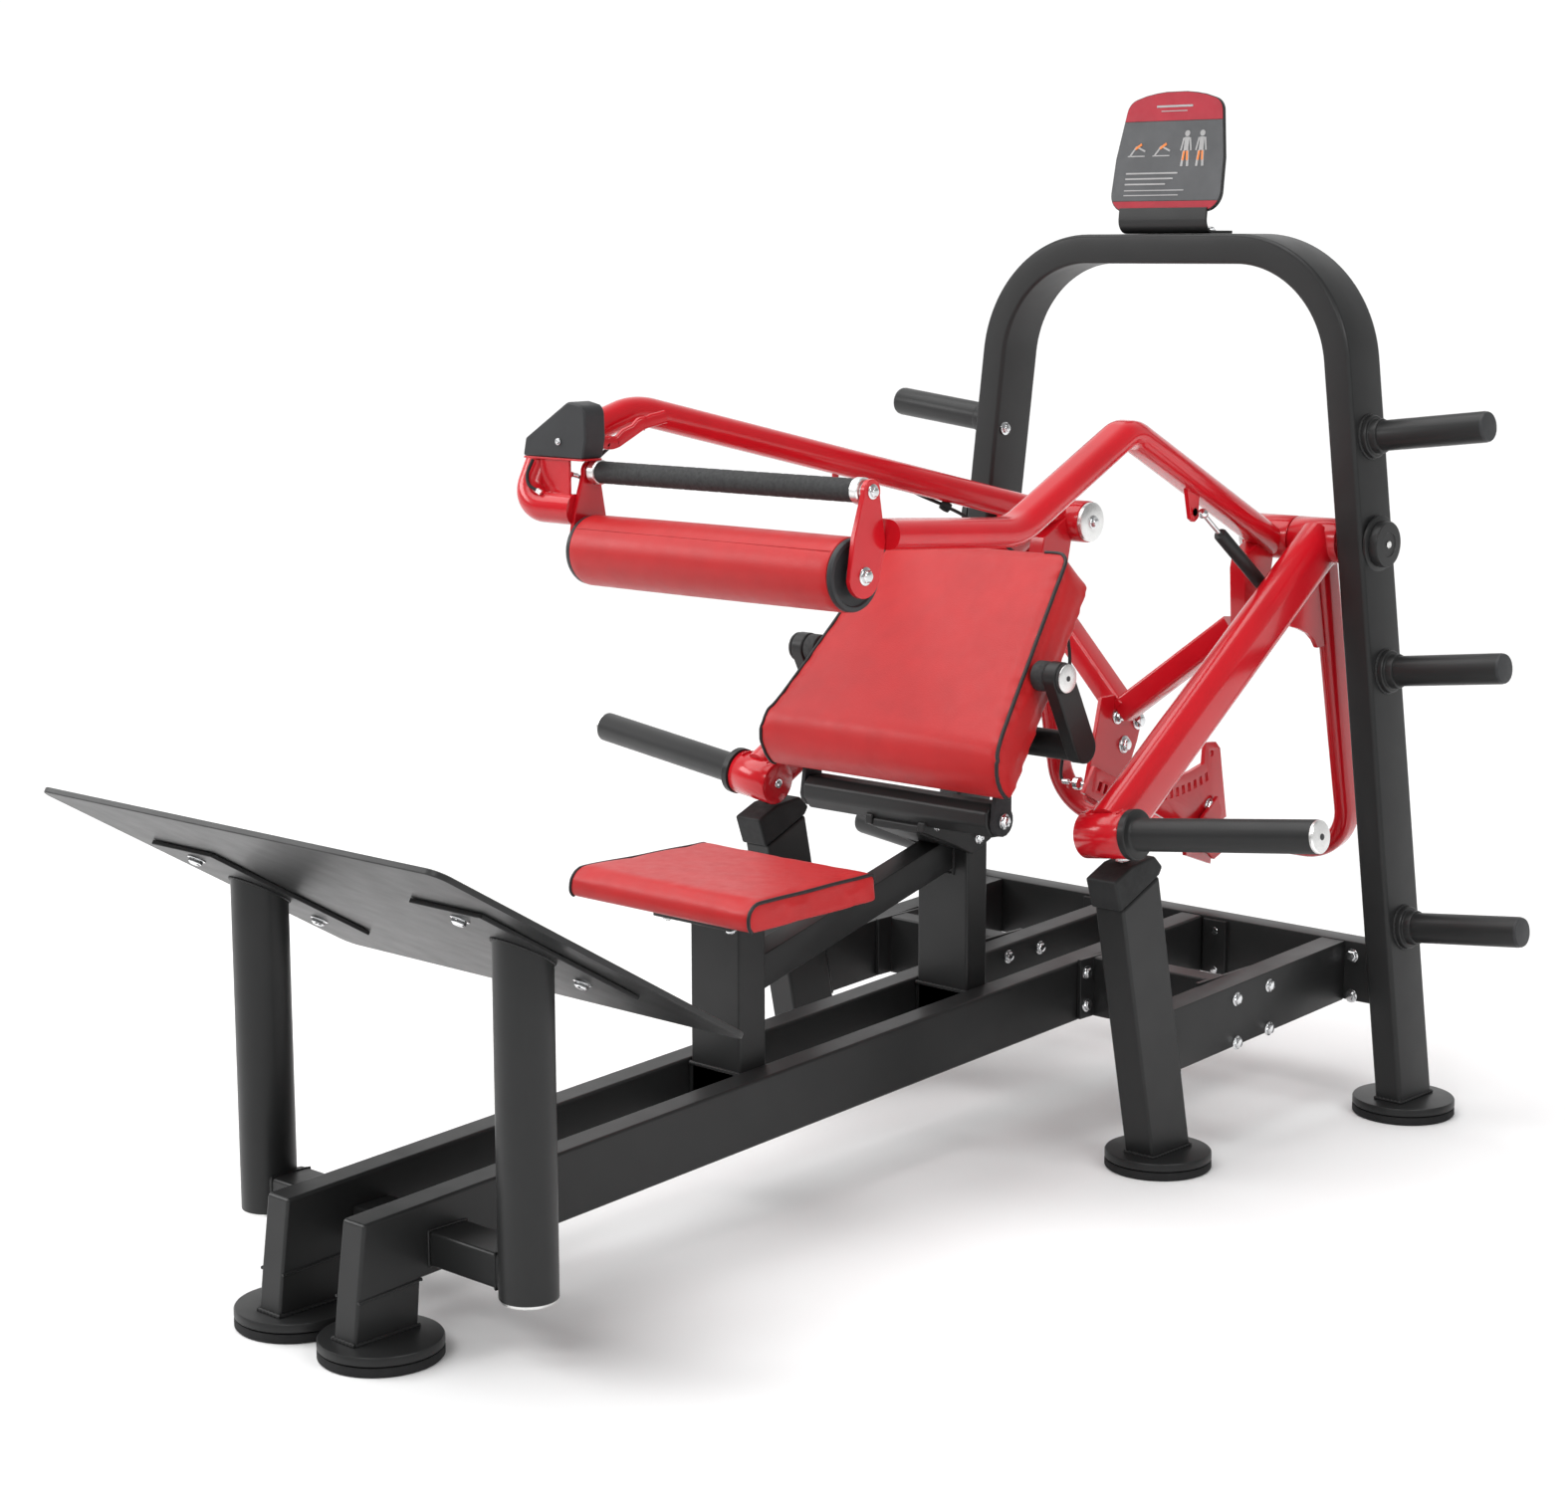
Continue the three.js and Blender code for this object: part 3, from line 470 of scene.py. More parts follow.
def refined(name, look, body, bevel):
    """A copy of a CAD node with its flats joined and its edges rounded."""
    mesh = NODES[name].data.copy()
    mesh.name = name + "_skin"
    bm = bmesh.new()
    bm.from_mesh(mesh)
    bmesh.ops.remove_doubles(bm, verts=bm.verts, dist=0.00005)
    bmesh.ops.dissolve_limit(bm, angle_limit=math.radians(2), verts=bm.verts, edges=bm.edges)
    bmesh.ops.recalc_face_normals(bm, faces=bm.faces)
    bm.to_mesh(mesh)
    bm.free()
    mesh.materials.clear()
    mesh.materials.append(look)
    made = bpy.data.objects.new(name + "_skin", mesh)
    scene.collection.objects.link(made)
    add_bevel(made, bevel)
    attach(made, body)
    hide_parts(name)
    return made


# ---- frame
REAR_FACE = 849.6


def make_rails():
    outline = [
        (-980, 183.4),
        (-993.4, 84),
        (-1000, 28),
        (-895, 28),
        (-889.5, 89.6),
        (REAR_FACE, rail_top(REAR_FACE) - RAIL_DEPTH),
        (REAR_FACE, rail_top(REAR_FACE)),
    ]
    pair("main_rail", prism(outline, *RAIL_X), BLACK, "frame", 4.5)
    seams = []
    for x in (RAIL_X[1] + 0.2, RAIL_X[0] - 0.2):
        seams.append(bead([(x, -993, 84), (x, -889, 89)], 2.4, False))
    foot_line = [(99, -1000, 29), (99, -895, 29), (55, -895, 29), (55, -1000, 29)]
    piece("rail_tie", box(-54.8, 54.8, *STRUT_Y, *STRUT_Z), BLACK, "frame", 4)
    seams.append(bead(foot_line, 3.4))
    detail("rail_weld", merged(*seams), BLACK)


def make_feet():
    rubber = [(74, 0), (80, 0.4), (82, 2.5), (82, 11), (80.5, 13), (77, 13.6)]
    flange = [(77, 14.4), (80.5, 14.6), (82, 16), (82, 25), (80.6, 27.2), (78, 27.6)]
    places = {"front": (86.4, -947.7), "middle": (358.2, 366), "rear": (486.8, 869.6)}
    for name, (x, y) in places.items():
        pair("foot_" + name, turned(rubber, (x, y, 0), (0, 0, 1), 72), RUBBER)
        top = turned(flange, (x, y, 0), (0, 0, 1), 72)
        neck = turned([(76, 12.8), (76, 15.2)], (x, y, 0), (0, 0, 1), 72)
        detail("foot_flange_" + name, merged(top, neck), BLACK)


PLATE_LOW, PLATE_HIGH = (-593.0, 400.0), (-1104.0, 696.3)
PLATE_RUN = Vector((0, PLATE_HIGH[0] - PLATE_LOW[0], PLATE_HIGH[1] - PLATE_LOW[1]))
PLATE_UP = PLATE_RUN.normalized()
PLATE_OUT = Vector((0, PLATE_UP.z, -PLATE_UP.y))


def on_plate(x, along, out):
    """A point of the foot plate: along its slope from the low edge, and out above its underside."""
    low = Vector((0, *PLATE_LOW))
    return tuple(low + Vector((x, 0, 0)) + PLATE_UP * along + PLATE_OUT * out)


def slab(outline, out0, out1):
    return loops([[on_plate(x, s, out) for x, s in outline] for out in (out0, out1)])


def make_foot_plate():
    length = PLATE_RUN.length
    outline = [(x, s + length / 2) for x, s in round_box(800, length, 22, 8)]
    skin("foot_plate", slab(outline, 0.0, 8.0), BLACK, "frame", 1.6)
    grit = [(x, s + length / 2) for x, s in round_box(740, length - 60, 14, 6)]
    piece("foot_plate_mat", slab(grit, 7.2, 9.6), RUBBER, "frame", 0.8)
    rows = []
    for k in range(9):
        s = 70 + (length - 140) * k / 8
        rows.append(slab([(-340, s - 4), (340, s - 4), (340, s + 4), (-340, s + 4)], 9.0, 11.2))
    piece("foot_plate_ribs", merged(*rows), RUBBER, "frame", 0.9)


def make_plate_posts():
    x, y = 264.0, -852.5
    outline = circle(38.6, 64)
    slope = PLATE_UP.z / PLATE_UP.y

    def under(py, drop):
        return PLATE_LOW[1] + slope * (py - PLATE_LOW[0]) - drop

    bottom = [(x + a, y + b, 96.0) for a, b in outline]
    top = [(x + a, y + b, under(y + b, 6)) for a, b in outline]
    tube = box(99.4, x - 20, *STRUT_Y, *STRUT_Z)
    pair("plate_post", loops([bottom, top]), BLACK, "frame", 1.2)
    detail("plate_post_tube", tube, BLACK, "frame", 5)
    pad = [(x + a, s) for a, s in ((-66, 142), (66, 142), (66, 441), (-66, 441))]
    detail("plate_post_bracket", slab(pad, -6.6, -0.4), BLACK, "frame", 1.2)
    bolts = []
    for s in (180, 412):
        bolts.append(bolt(on_plate(x, s, -6.6), -PLATE_OUT, 8.5))
    detail("plate_post_bolts", merged(*bolts), CHROME)
    plug = turned([(30, -5), (36, -4), (37.6, -1), (37.6, 2)], (x, y, 96), (0, 0, 1), 48)
    detail("plate_post_plug", plug, CAP)
    ring = [(x + a * 1.01, y + b * 1.01, under(y + b, 8.6)) for a, b in circle(38.6, 60)]
    joint = [(x - 37, y + b, z) for b, z in ((-23.5, 103), (41.5, 103), (41.5, 150), (-23.5, 150))]
    inner = [(99.8, py, pz) for _, py, pz in joint]
    welds = merged(bead(ring, 2.4), bead(joint, 2), bead(inner, 2.2))
    detail("plate_post_weld", welds, BLACK)


def make_seat_mount():
    top = rail_top(sum(SEAT_POST) / 2)
    post = box(-50, 50, *SEAT_POST, top - 96, 446)
    block = box(-54.5, 54.5, *SEAT_POST, top - 96, top - 8)
    skin("seat_post", post, BLACK, "frame", 4.5)
    piece("seat_post_block", block, BLACK, "frame", 2)
    flange = box(-78, 78, -290, -138, 439, 447.4)
    piece("seat_post_flange", flange, BLACK, "frame", 1.6)
    heads = [bolt((x, y, 439), (0, 0, -1), 6.5) for x in (-64, 64) for y in (-274, -154)]
    piece("seat_post_bolts", merged(*heads), CHROME)
    foot_line, top_line = (square(51, -243, -185, z) for z in (top - 7, 438))
    piece("seat_post_weld", merged(bead(foot_line), bead(top_line, 2.6)), BLACK)
    refined("seat_board", BOARD, "frame", 2)


def make_brace_and_post():
    refined("brace_tube", BLACK, "frame", 3)
    top = rail_top(sum(BACK_POST) / 2)
    column = box(-51, 51, *BACK_POST, top - 96, 496)
    skin("back_post", column, BLACK, "frame", 4.5)
    block = box(-54.5, 54.5, *BACK_POST, top - 96, top - 8)
    piece("back_post_block", block, BLACK, "frame", 2)
    cap = box(-47, 47, 278, 320, 494, 498.5)
    piece("back_post_cap", cap, PLASTIC, "frame", 1.5)
    body = [(166, 521), (198, 519), (208, 535), (208, 560)]
    body += [(196, 573), (164, 573), (152, 560), (152, 540)]
    piece("hinge_housing", prism(body, -186, 186), BLACK, "frame", 4)
    cheek = [(158, 528), (156, 514), (234, 482), (276, 462)]
    cheek += [(322, 480), (324, 506), (262, 516), (204, 552)]
    cheeks = merged(prism(cheek, 46, 60), prism(cheek, -60, -46))
    piece("hinge_cheeks", cheeks, BLACK, "frame", 2)
    tray = [(160, 522), (158, 511), (262, 470), (300, 492), (300, 506), (258, 514), (204, 546)]
    piece("hinge_tray", prism(tray, -46, 46), BLACK, "frame", 2)
    heads = []
    for sign in (-1, 1):
        for y, z in ((188, 522), (290, 486)):
            heads.append(bolt((sign * 60, y, z), (sign, 0, 0), 6.5))
    piece("hinge_cheek_bolts", merged(*heads), CHROME)
    foot_line = square(52, 273, 325, top - 7)
    front = [(-23, 273, 426), (23, 273, 426), (23, 273, 479), (-23, 273, 479)]
    rear = [(-23, -185, 314), (23, -185, 314), (23, -185, 368), (-23, -185, 368)]
    piece("back_post_weld", merged(bead(foot_line), bead(front, 2.6), bead(rear, 2.6)), BLACK)


def make_stop_posts():
    def front(z):
        return 230 - 0.218 * (z - 420)

    def rear(z):
        return 319 - 0.2157 * (z - 467.5)

    outline = [(front(28), 28), (rear(28), 28), (rear(468), 468), (front(429), 429)]
    pair("stop_post", prism(outline, 332, 385), BLACK, "frame", 5)
    block = [(222, 427.4), (318, 468.6), (326, 481), (306, 500), (249, 493.5), (205, 475)]
    pair("bumper_block", prism(block, 331, 386), BUMPER, "frame", 4)
    nut = turned([(10, 0), (11, 0.8), (11, 2.4), (8, 3)], (358, 262, 495), (0, -0.15, 1), 28)
    detail("bumper_insert", nut, CHROME)
    z = 29.0
    line = [(332, front(z), z), (385, front(z), z), (385, rear(z), z), (332, rear(z), z)]
    top = rail_top(375)
    under = top - RAIL_DEPTH
    beam = [(336, rear(top) + 1, top), (380, rear(top) + 1, top)]
    low = [(x, rear(under) + 1, under) for x in (380, 336)]
    welds = merged(bead(line, 3.4), bead(beam + low, 3))
    detail("stop_post_weld", welds, BLACK)


def make_beams():
    for side, _ in SIDES:
        refined("side_beam_" + side, BLACK, "frame", 3.5)
    refined("rear_beam", BLACK, "frame", 3.5)
    top = rail_top(554)
    pair("cross_beam", box(99.5, 335.6, 532, 576, top - RAIL_DEPTH, top), BLACK, "frame", 4)
    plate = box(99.4, 107.4, 497, 611, top - 98, top + 1)
    far = box(327.6, 335.6, 500, 652, top - 98, top + 1)
    detail("cross_beam_plates", merged(plate, far), BLACK, "frame", 1.6)
    bolts = []
    for y in (512, 597):
        for z in (top - 22, top - 76):
            bolts.append(bolt((107.4, y, z), (1, 0, 0), 7.5))
            bolts.append(bolt((54.8, y, z), (-1, 0, 0), 7.5))
    for y, z in ((538, 235), (629, 240), (541, 164), (630, 169)):
        bolts.append(bolt((380, y, z), (1, 0, 0), 7.5))
    for x in (128, 395):
        for z in (251, 183):
            bolts.append(bolt((x, 850, z), (0, -1, 0), 7.5))
    detail("beam_bolts", merged(*bolts), CHROME)
    flange = box(104, 150, 843, 849.8, rail_top(850) - 96, rail_top(850) - 3)
    detail("rear_beam_plates", flange, BLACK, "frame", 1.6)


ARCH_TOP = 1392.0


def make_arch():
    corners = [
        (leg_x(28.2), 870, 28.2),
        (leg_x(ARCH_TOP), 870, ARCH_TOP),
        (-leg_x(ARCH_TOP), 870, ARCH_TOP),
        (-leg_x(28.2), 870, 28.2),
    ]
    path = rounded(corners, (198, 198), 28)
    tube = sweep(path, (0, 1, 0), round_box(96.5, LEG_W, 7, 5))
    piece("arch_skin", tube, BLACK, stands_for=("arch_frame",))
    base = ARCH_TOP + LEG_W / 2 + 0.4
    outer = [(831, 1459), (829, base + 24)] + arc(851, base + 22, 22, 180, 270, 10) + [(908, base)]
    inner = [(908, base + 5)] + arc(851, base + 22, 17, 270, 180, 10) + [(834, base + 24), (836, 1459)]
    piece("placard_foot", prism(outer + inner, -88, 88), BLACK, "frame", 1)
    heads = [bolt((x, 885, ARCH_TOP + 29.7), (0, 0, 1), 6) for x in (-60, 60)]
    heads.append(bolt((-leg_x(1082) + 24.8, 845, 1082), (1, 0, 0.1), 8))
    piece("arch_bolts", merged(*heads), CHROME)
    welds = []
    for sign in (1, -1):
        x = leg_x(28)
        line = [(x - 24, 822), (x + 24, 822), (x + 24, 918), (x - 24, 918)]
        welds.append(bead([(sign * a, b, 29.5) for a, b in line], 3.4))
    piece("arch_weld", merged(*welds), BLACK)


def make_placard():
    tilt = math.radians(-9.5)
    base = Vector((0, 834, 1453))

    def on_sign(x, up, out):
        y = -out
        return (
            base.x + x,
            base.y + y * math.cos(tilt) - up * math.sin(tilt),
            base.z + y * math.sin(tilt) + up * math.cos(tilt),
        )

    def sheet(outline, out0, out1):
        return loops([[on_sign(x, up, out) for x, up in outline] for out in (out0, out1)])

    half = arc(80, 31, 31, -90, 0, 9) + [(109, 88)] + arc(71, 162, 26, 8, 72, 7)
    half += [(60, 192.6), (40, 196.2), (20, 198.3)]
    outline = half + [(-x, up) for x, up in reversed(half)]
    skin("placard", sheet(outline, -7, 0), BLACK, "frame", 1.2)
    inner = [(x * 0.985, up * 0.985 + 1.5) for x, up in outline]

    def band(low, high):
        cut = []
        for (x0, u0), (x1, u1) in zip(inner, inner[1:] + inner[:1]):
            if low <= u0 <= high:
                cut.append((x0, u0))
            for level in (low, high):
                if (u0 - level) * (u1 - level) < 0:
                    t = (level - u0) / (u1 - u0)
                    cut.append((x0 + (x1 - x0) * t, level))
        middle = Vector((0, (low + high) / 2))
        return sorted(cut, key=lambda p: math.atan2(p[1] - middle.y, p[0] - middle.x))

    piece("placard_band_top", sheet(band(150, 200), 0.1, 0.8), SIGN_RED)
    piece("placard_field", sheet(band(18, 149), 0.1, 0.7), SIGN_GREY)
    piece("placard_band_low", sheet(band(1, 17), 0.1, 0.8), SIGN_RED)

    def bar(x, up, w, h):
        return sheet([(x, up), (x + w, up), (x + w, up + h), (x, up + h)], 0.6, 1.3)

    def disc(x, up, r):
        return sheet([(x + a, up + b) for a, b in circle(r, 20)], 0.6, 1.3)

    def line(x0, u0, x1, u1, w):
        d = Vector((x1 - x0, u1 - u0)).normalized() * (w / 2)
        near = [(x0 + d.y, u0 - d.x), (x1 + d.y, u1 - d.x)]
        return sheet(near + [(x1 - d.y, u1 + d.x), (x0 - d.y, u0 + d.x)], 0.6, 1.3)

    pale, orange = [], []
    for k, w in enumerate((104, 96, 82)):
        pale.append(bar(-84, 62 - 9 * k, w, 2.6))
    for k, w in enumerate((120, 110)):
        pale.append(bar(-84, 34 - 8 * k, w, 1.8))
    pale.append(bar(-36, 172, 72, 3.4))
    pale.append(bar(-26, 165, 52, 1.4))
    for x in (-84, -34):
        pale += [line(x, 92, x + 34, 92, 2), line(x + 4, 92, x + 16, 108, 3)]
        pale.append(line(x + 16, 108, x + 34, 100, 3))
        orange.append(line(x + 14, 104, x + 26, 112, 4))
    for x in (32, 62):
        pale += [disc(x, 128, 5), line(x, 122, x, 100, 9), line(x - 4, 100, x - 6, 74, 4.4)]
        pale.append(line(x + 4, 100, x + 6, 74, 4.4))
        pale += [line(x - 6, 121, x - 10, 100, 3), line(x + 6, 121, x + 10, 100, 3)]
        orange.append(line(x - 3, 99, x - 4.4, 84, 3.6))
        orange.append(line(x + 3, 99, x + 4.4, 84, 3.6))
    piece("placard_marks", merged(*pale), SIGN_PALE)
    points, faces = merged(*orange)
    proud = [(x, y - 0.3, z) for x, y, z in points]
    piece("placard_highlights", (proud, faces), SIGN_ORANGE)


def make_storage_horns():
    tilt = Vector((1, 0, LEG_LEAN)).normalized()
    horn = [(34, 0), (34, 9.5), (32.5, 11), (29, 11.4), (28, 12.6)]
    horn += [(28, 22), (27, 24.4), (24.5, 25.2), (24.5, 206), (23.6, 209)]
    for name, z in (("top", 1093), ("mid", 719), ("low", 305)):
        root = Vector((leg_x(z), 870, z)) + tilt * (LEG_W / 2 + 0.4)
        pair("storage_horn_" + name, turned(horn, root, tilt, 56), BLACK)
        cap = turned([(24, 207.5), (23.8, 210), (22.4, 212.4), (8, 213.2)], root, tilt, 48)
        detail("storage_cap_" + name, cap, PLASTIC)
        u, w = square_to(tilt)
        foot = [root + tilt * 0.6 + u * a + w * b for a, b in circle(34.6, 36)]
        detail("storage_weld_" + name, bead(foot, 2.6), BLACK)


def make_axles():
    y, z = PIVOT
    face = leg_x(z) + LEG_W / 2 + 5.5
    shaft = rod((162, y, z), (face + 4, y, z), 20, 48)
    rim = [(36, 0), (37, 1), (37, 13), (35.5, 15), (20, 15.6), (19, 14.4), (2, 14.4)]
    disc = turned(rim, (face, y, z), (1, 0, 0), 56)
    seat = turned([(46, -4.8), (46, -1.2), (44, 0)], (face, y, z), (1, 0, 0), 56)
    detail("axle_disc", merged(disc, seat), BLACK)
    dot = turned([(2.4, 15.8), (2.6, 16.6), (5.2, 16.6), (6, 15.4)], (face, y, z), (1, 0, 0), 24)
    detail("axle_screw", dot, CAP)
    keeper = [(6, 160.2), (14, 160.6), (30, 161), (34, 163), (34, 169.2)]
    cap = turned(keeper, (0, y, z), (1, 0, 0), 56)
    pair("stub_axle", merged(shaft, cap), CAP)
    detail("axle_bolt", bolt((160.8, y, z), (-1, 0, 0), 8), CHROME)


# ---- weight arm
HUB_AXIS = Vector((1, 0, 0.125)).normalized()
HUB_ROOT = Vector((314, 232, 534.7))


def sleeve_profile(start, end):
    """A pivot sleeve with softened ends."""
    soft = SLEEVE_R - SLEEVE_END
    return [(SLEEVE_END, start), (SLEEVE_R, start + soft), (SLEEVE_R, end - soft), (SLEEVE_END, end)]


def make_weight_arm():
    y, z = PIVOT
    top = Vector((302, y, z))
    end = HUB_ROOT + HUB_AXIS * 38
    run = (end - top).normalized()
    length = (end - top).length
    wide = Vector((1, 0, 0)).cross(run).normalized()
    path = [top + run * d for d in (12, length - 8)]
    tube = sweep(path, wide, round_box(86, 56, 27.9, 10))
    sleeve = turned(sleeve_profile(256, 346), (0, y, z), (1, 0, 0), 64)
    hub = turned(sleeve_profile(0, 80), HUB_ROOT, HUB_AXIS, 64)
    gusset = [(802, 872), (764, 796), (800, 787), (828, 777), (846, 764)]
    gusset += [(857, 750), (880, 750), (858, 862), (852, 885)]
    pair("weight_arm", merged(tube, sleeve, hub), RED, "weight_arm", angle=45)
    detail("arm_gusset", prism(gusset, 299, 307), RED, "weight_arm", 1.6)
    flat = run.cross(wide)
    toward = (HUB_AXIS * run.dot(HUB_AXIS) - run).normalized()
    around = HUB_AXIS.cross(toward)
    welds = []
    for side in (-28, 28):
        line = []
        for step in range(25):
            angle = math.radians(-84 + 7 * step)
            rim = HUB_ROOT + (toward * math.cos(angle) + around * math.sin(angle)) * 36.2
            line.append(rim + HUB_AXIS * ((side - (rim - end).dot(flat)) / HUB_AXIS.dot(flat)))
        welds.append(bead(line, 2.4, False))
    detail("arm_weld", merged(*welds), RED, "weight_arm")
    horn = [(24.4, 4.6), (24.5, 80.8), (36, 81), (38, 82.6), (38, 92.6), (36.4, 94.4), (29, 94.8)]
    horn += [(26, 96), (24.6, 98), (24.5, 402), (23.8, 403.4)]
    pair("weight_horn", turned(horn, HUB_ROOT, HUB_AXIS, 56), BLACK, "weight_arm")
    cap = [(23.9, 402.6), (23.9, 406.4), (22, 408.4), (6, 409.4)]
    detail("weight_horn_cap", turned(cap, HUB_ROOT, HUB_AXIS, 56), CAP, "weight_arm")
    dot = turned([(5, 409), (4.4, 410.4), (2, 410.6)], HUB_ROOT, HUB_AXIS, 24)
    detail("weight_horn_dot", dot, PLASTIC, "weight_arm")
    inner = turned([(8, -1.6), (32, -1.6), (33.6, -0.4), (33.6, 2)], HUB_ROOT, HUB_AXIS, 48)
    detail("hub_plug", inner, RED, "weight_arm")
    screw = turned([(2.4, -2), (5.4, -2.6), (7.6, -2.2), (8.2, -1)], HUB_ROOT, HUB_AXIS, 24)
    detail("hub_screw", screw, CHROME, "weight_arm")


def make_u_tube():
    y, z = PIVOT

    def lean(x, height):
        return (x, y + 0.216 * (z - height), height)

    path = rounded([lean(302, 884), lean(302, 390), lean(-302, 390), lean(-302, 884)], (85, 85), 20)
    tube = sweep(path, (0, 1, 0.216), round_box(50, 32, 15.9, 10))
    skin("u_tube", tube, RED, "weight_arm", angle=45)
    refined("sector_plate", RED, "weight_arm", 0.7)
    heads = []
    for cy, cz in ((998, 430), (1016, 352)):
        heads += [bolt((4, cy, cz), (1, 0, 0), 8.5), bolt((-4, cy, cz), (-1, 0, 0), 8.5)]
    piece("sector_bolts", merged(*heads), CHROME, "weight_arm")
    clamp = [(966, 414), (1012, 446), (1026, 420), (1012, 372), (1030, 344), (1004, 334), (962, 366)]
    clamps = merged(prism(clamp, 7, 15), prism(clamp, -15, -7))
    piece("sector_clamps", clamps, RED, "weight_arm", 1.5)


# ---- hip yoke
RIGHT_CORNERS = [(214, 862, 915), (250, 400, 1123), (275, 95, 992), (275, -187, 1010)]
RIGHT_PATH = rounded(RIGHT_CORNERS, (62, 140), 16)
LEFT_CORNERS = [
    (-214, 862, 930),
    (-362, -40, 1152),
    (-364, -225, 1097),
    (-366, -264, 1018),
    (-279.4, -244, 1015),
]
LEFT_PATH = rounded(LEFT_CORNERS, (120, 50, 34), 14)


def make_yoke():
    y, z = PIVOT
    sleeve = turned(sleeve_profile(170, 254), (0, y, z), (1, 0, 0), 64)
    plate = [(852, 900), (836, 935), (774, 905), (768, 880), (774, 790), (796, 752), (822, 770)]
    lever = prism(plate, 192, 222)
    right = sweep(RIGHT_PATH, (1, 0, 0), round_box(58, 42, 20.9, 10))
    left = sweep(LEFT_PATH, (1, 0, 0), circle(23, 48))
    skin("yoke_right", merged(right, sleeve), RED, "hip_yoke", angle=45)
    skin("yoke_left", merged(left, flipped(sleeve)), RED, "hip_yoke", angle=45)
    piece("yoke_levers", both(lever), RED, "hip_yoke", 2)
    ball_tab = prism([(566, 1044), (604, 1026), (602, 976), (592, 970), (582, 976)], 236, 245)
    cable_tab = prism([(352, 1062), (372, 1056), (366, 1024), (354, 1026)], -306, -301)
    piece("yoke_tabs", merged(ball_tab, cable_tab), RED, "hip_yoke", 1.4)
    piece("yoke_bolts", bolt((245, 592, 986), (-1, 0, 0), 5), CHROME, "hip_yoke")


def make_v_frame():
    arm = sweep([(188, 792, 782), (0, 747, 627)], (0, 1, 0), round_box(40, 40, 5, 4))
    skin("v_frame", both(arm), RED, "hip_yoke", angle=30)
    outline = [(694, 655), (680, 600), (655, 512), (656, 486), (678, 474), (704, 484)]
    outline += [(774, 528), (796, 570), (812, 614), (800, 640), (772, 655)]
    piece("pin_plate", prism(outline, -13, -5), RED, "hip_yoke", 1.2)
    heads = []
    for cy, cz in ((738, 620), (796, 604), (757, 568)):
        heads += [bolt((-5, cy, cz), (1, 0, 0), 10), bolt((-13, cy, cz), (-1, 0, 0), 10)]
    piece("pin_plate_bolts", merged(*heads), CHROME, "hip_yoke")


def make_front():
    y, z = ROLLER
    by, bz = GRIP_BAR
    outline = arc(y, z, 31, 190, 350, 24) + [(-188, 1000)] + arc(by, bz, 17, -20, 190, 20) + [(-252, 1010)]
    for side, sign in SIDES:
        x0, x1 = sorted((sign * 270.6, sign * 279))
        name = "roller_bracket_" + side
        skin(name, prism(outline, x0, x1), RED, "hip_yoke", 1.4)
    heads = []
    for sign in (1, -1):
        heads.append(bolt((sign * 279, y, z), (sign, 0, 0), 8.5))
        heads.append(bolt((sign * 279, by, bz), (sign, 0, 0), 7))
    piece("bracket_bolts", merged(*heads), CHROME, "hip_yoke")
    foam = [(15, -252), (16.4, -250), (16.5, -249)] + grip_profile(-248, 248) + [(16.4, 250), (15, 252)]
    grip = turned(foam, (0, by, bz), (1, 0, 0), 48)
    skin("grip_bar", grip, GRIP, "hip_yoke")
    ring = [(16.6, 251), (18.6, 252.4), (18.6, 264), (17, 266), (13, 266.4), (13, 270.4)]
    collar = turned(ring, (0, by, bz), (1, 0, 0), 48)
    piece("grip_bar_collars", both(collar), CAP, "hip_yoke")


def grip_profile(start, end):
    """Shallow rings moulded round a grip."""
    count = int((end - start) / 4)
    profile = []
    for k in range(count + 1):
        groove = 0.45 if k % 6 == 0 else 0.0
        profile.append((16.5 - groove, start + (end - start) * k / count))
    return profile


def hood(outline, y0, y1):
    return loops([[(x, y, z) for x, z in outline] for y in (y0, y1)])


def make_cover():
    face = [(-379, 1091), (-250, 1091), (-243, 1120), (-244, 1150)] + arc(-262, 1154, 18, 0, 60, 4)
    face += arc(-276, 1156, 18, 75, 118, 3) + [(-373, 1118)]
    skin("lever_cover", hood(face, -256, -214), PLASTIC, "hip_yoke", 3.5)
    piece("lever_cover_screw", bolt((-300, -256.4, 1115), (0, -1, 0), 3.6), CHROME, "hip_yoke")
    front = box(-345, -283, -252, -247, 1036, 1090)
    shelf = box(-378, -251, -255, -215, 1087.6, 1090.8)
    piece("cover_bracket", merged(front, shelf), RED, "hip_yoke", 0.8)
    loop = smooth_path([(-350, -262, 1087), (-353, -271, 1066), (-345, -275, 1050), (-331, -271, 1042)], 8)
    piece("cable_loop", sweep(loop, (1, 0, 0), circle(2.6, 12)), SLEEVE, "hip_yoke")
    tip = turned([(2.8, -2), (4.4, -1), (4.4, 7), (3, 8)], loop[-1], (0.8, 0.3, -0.5), 20)
    piece("cable_loop_end", tip, CAP, "hip_yoke")
    pin_end = (-322, -160, 1112)
    pivot = merged(rod((-344, -160, 1112), pin_end, 9, 28), bolt(pin_end, (1, 0, 0), 5))
    piece("lever_pivot", pivot, RED, "hip_yoke")


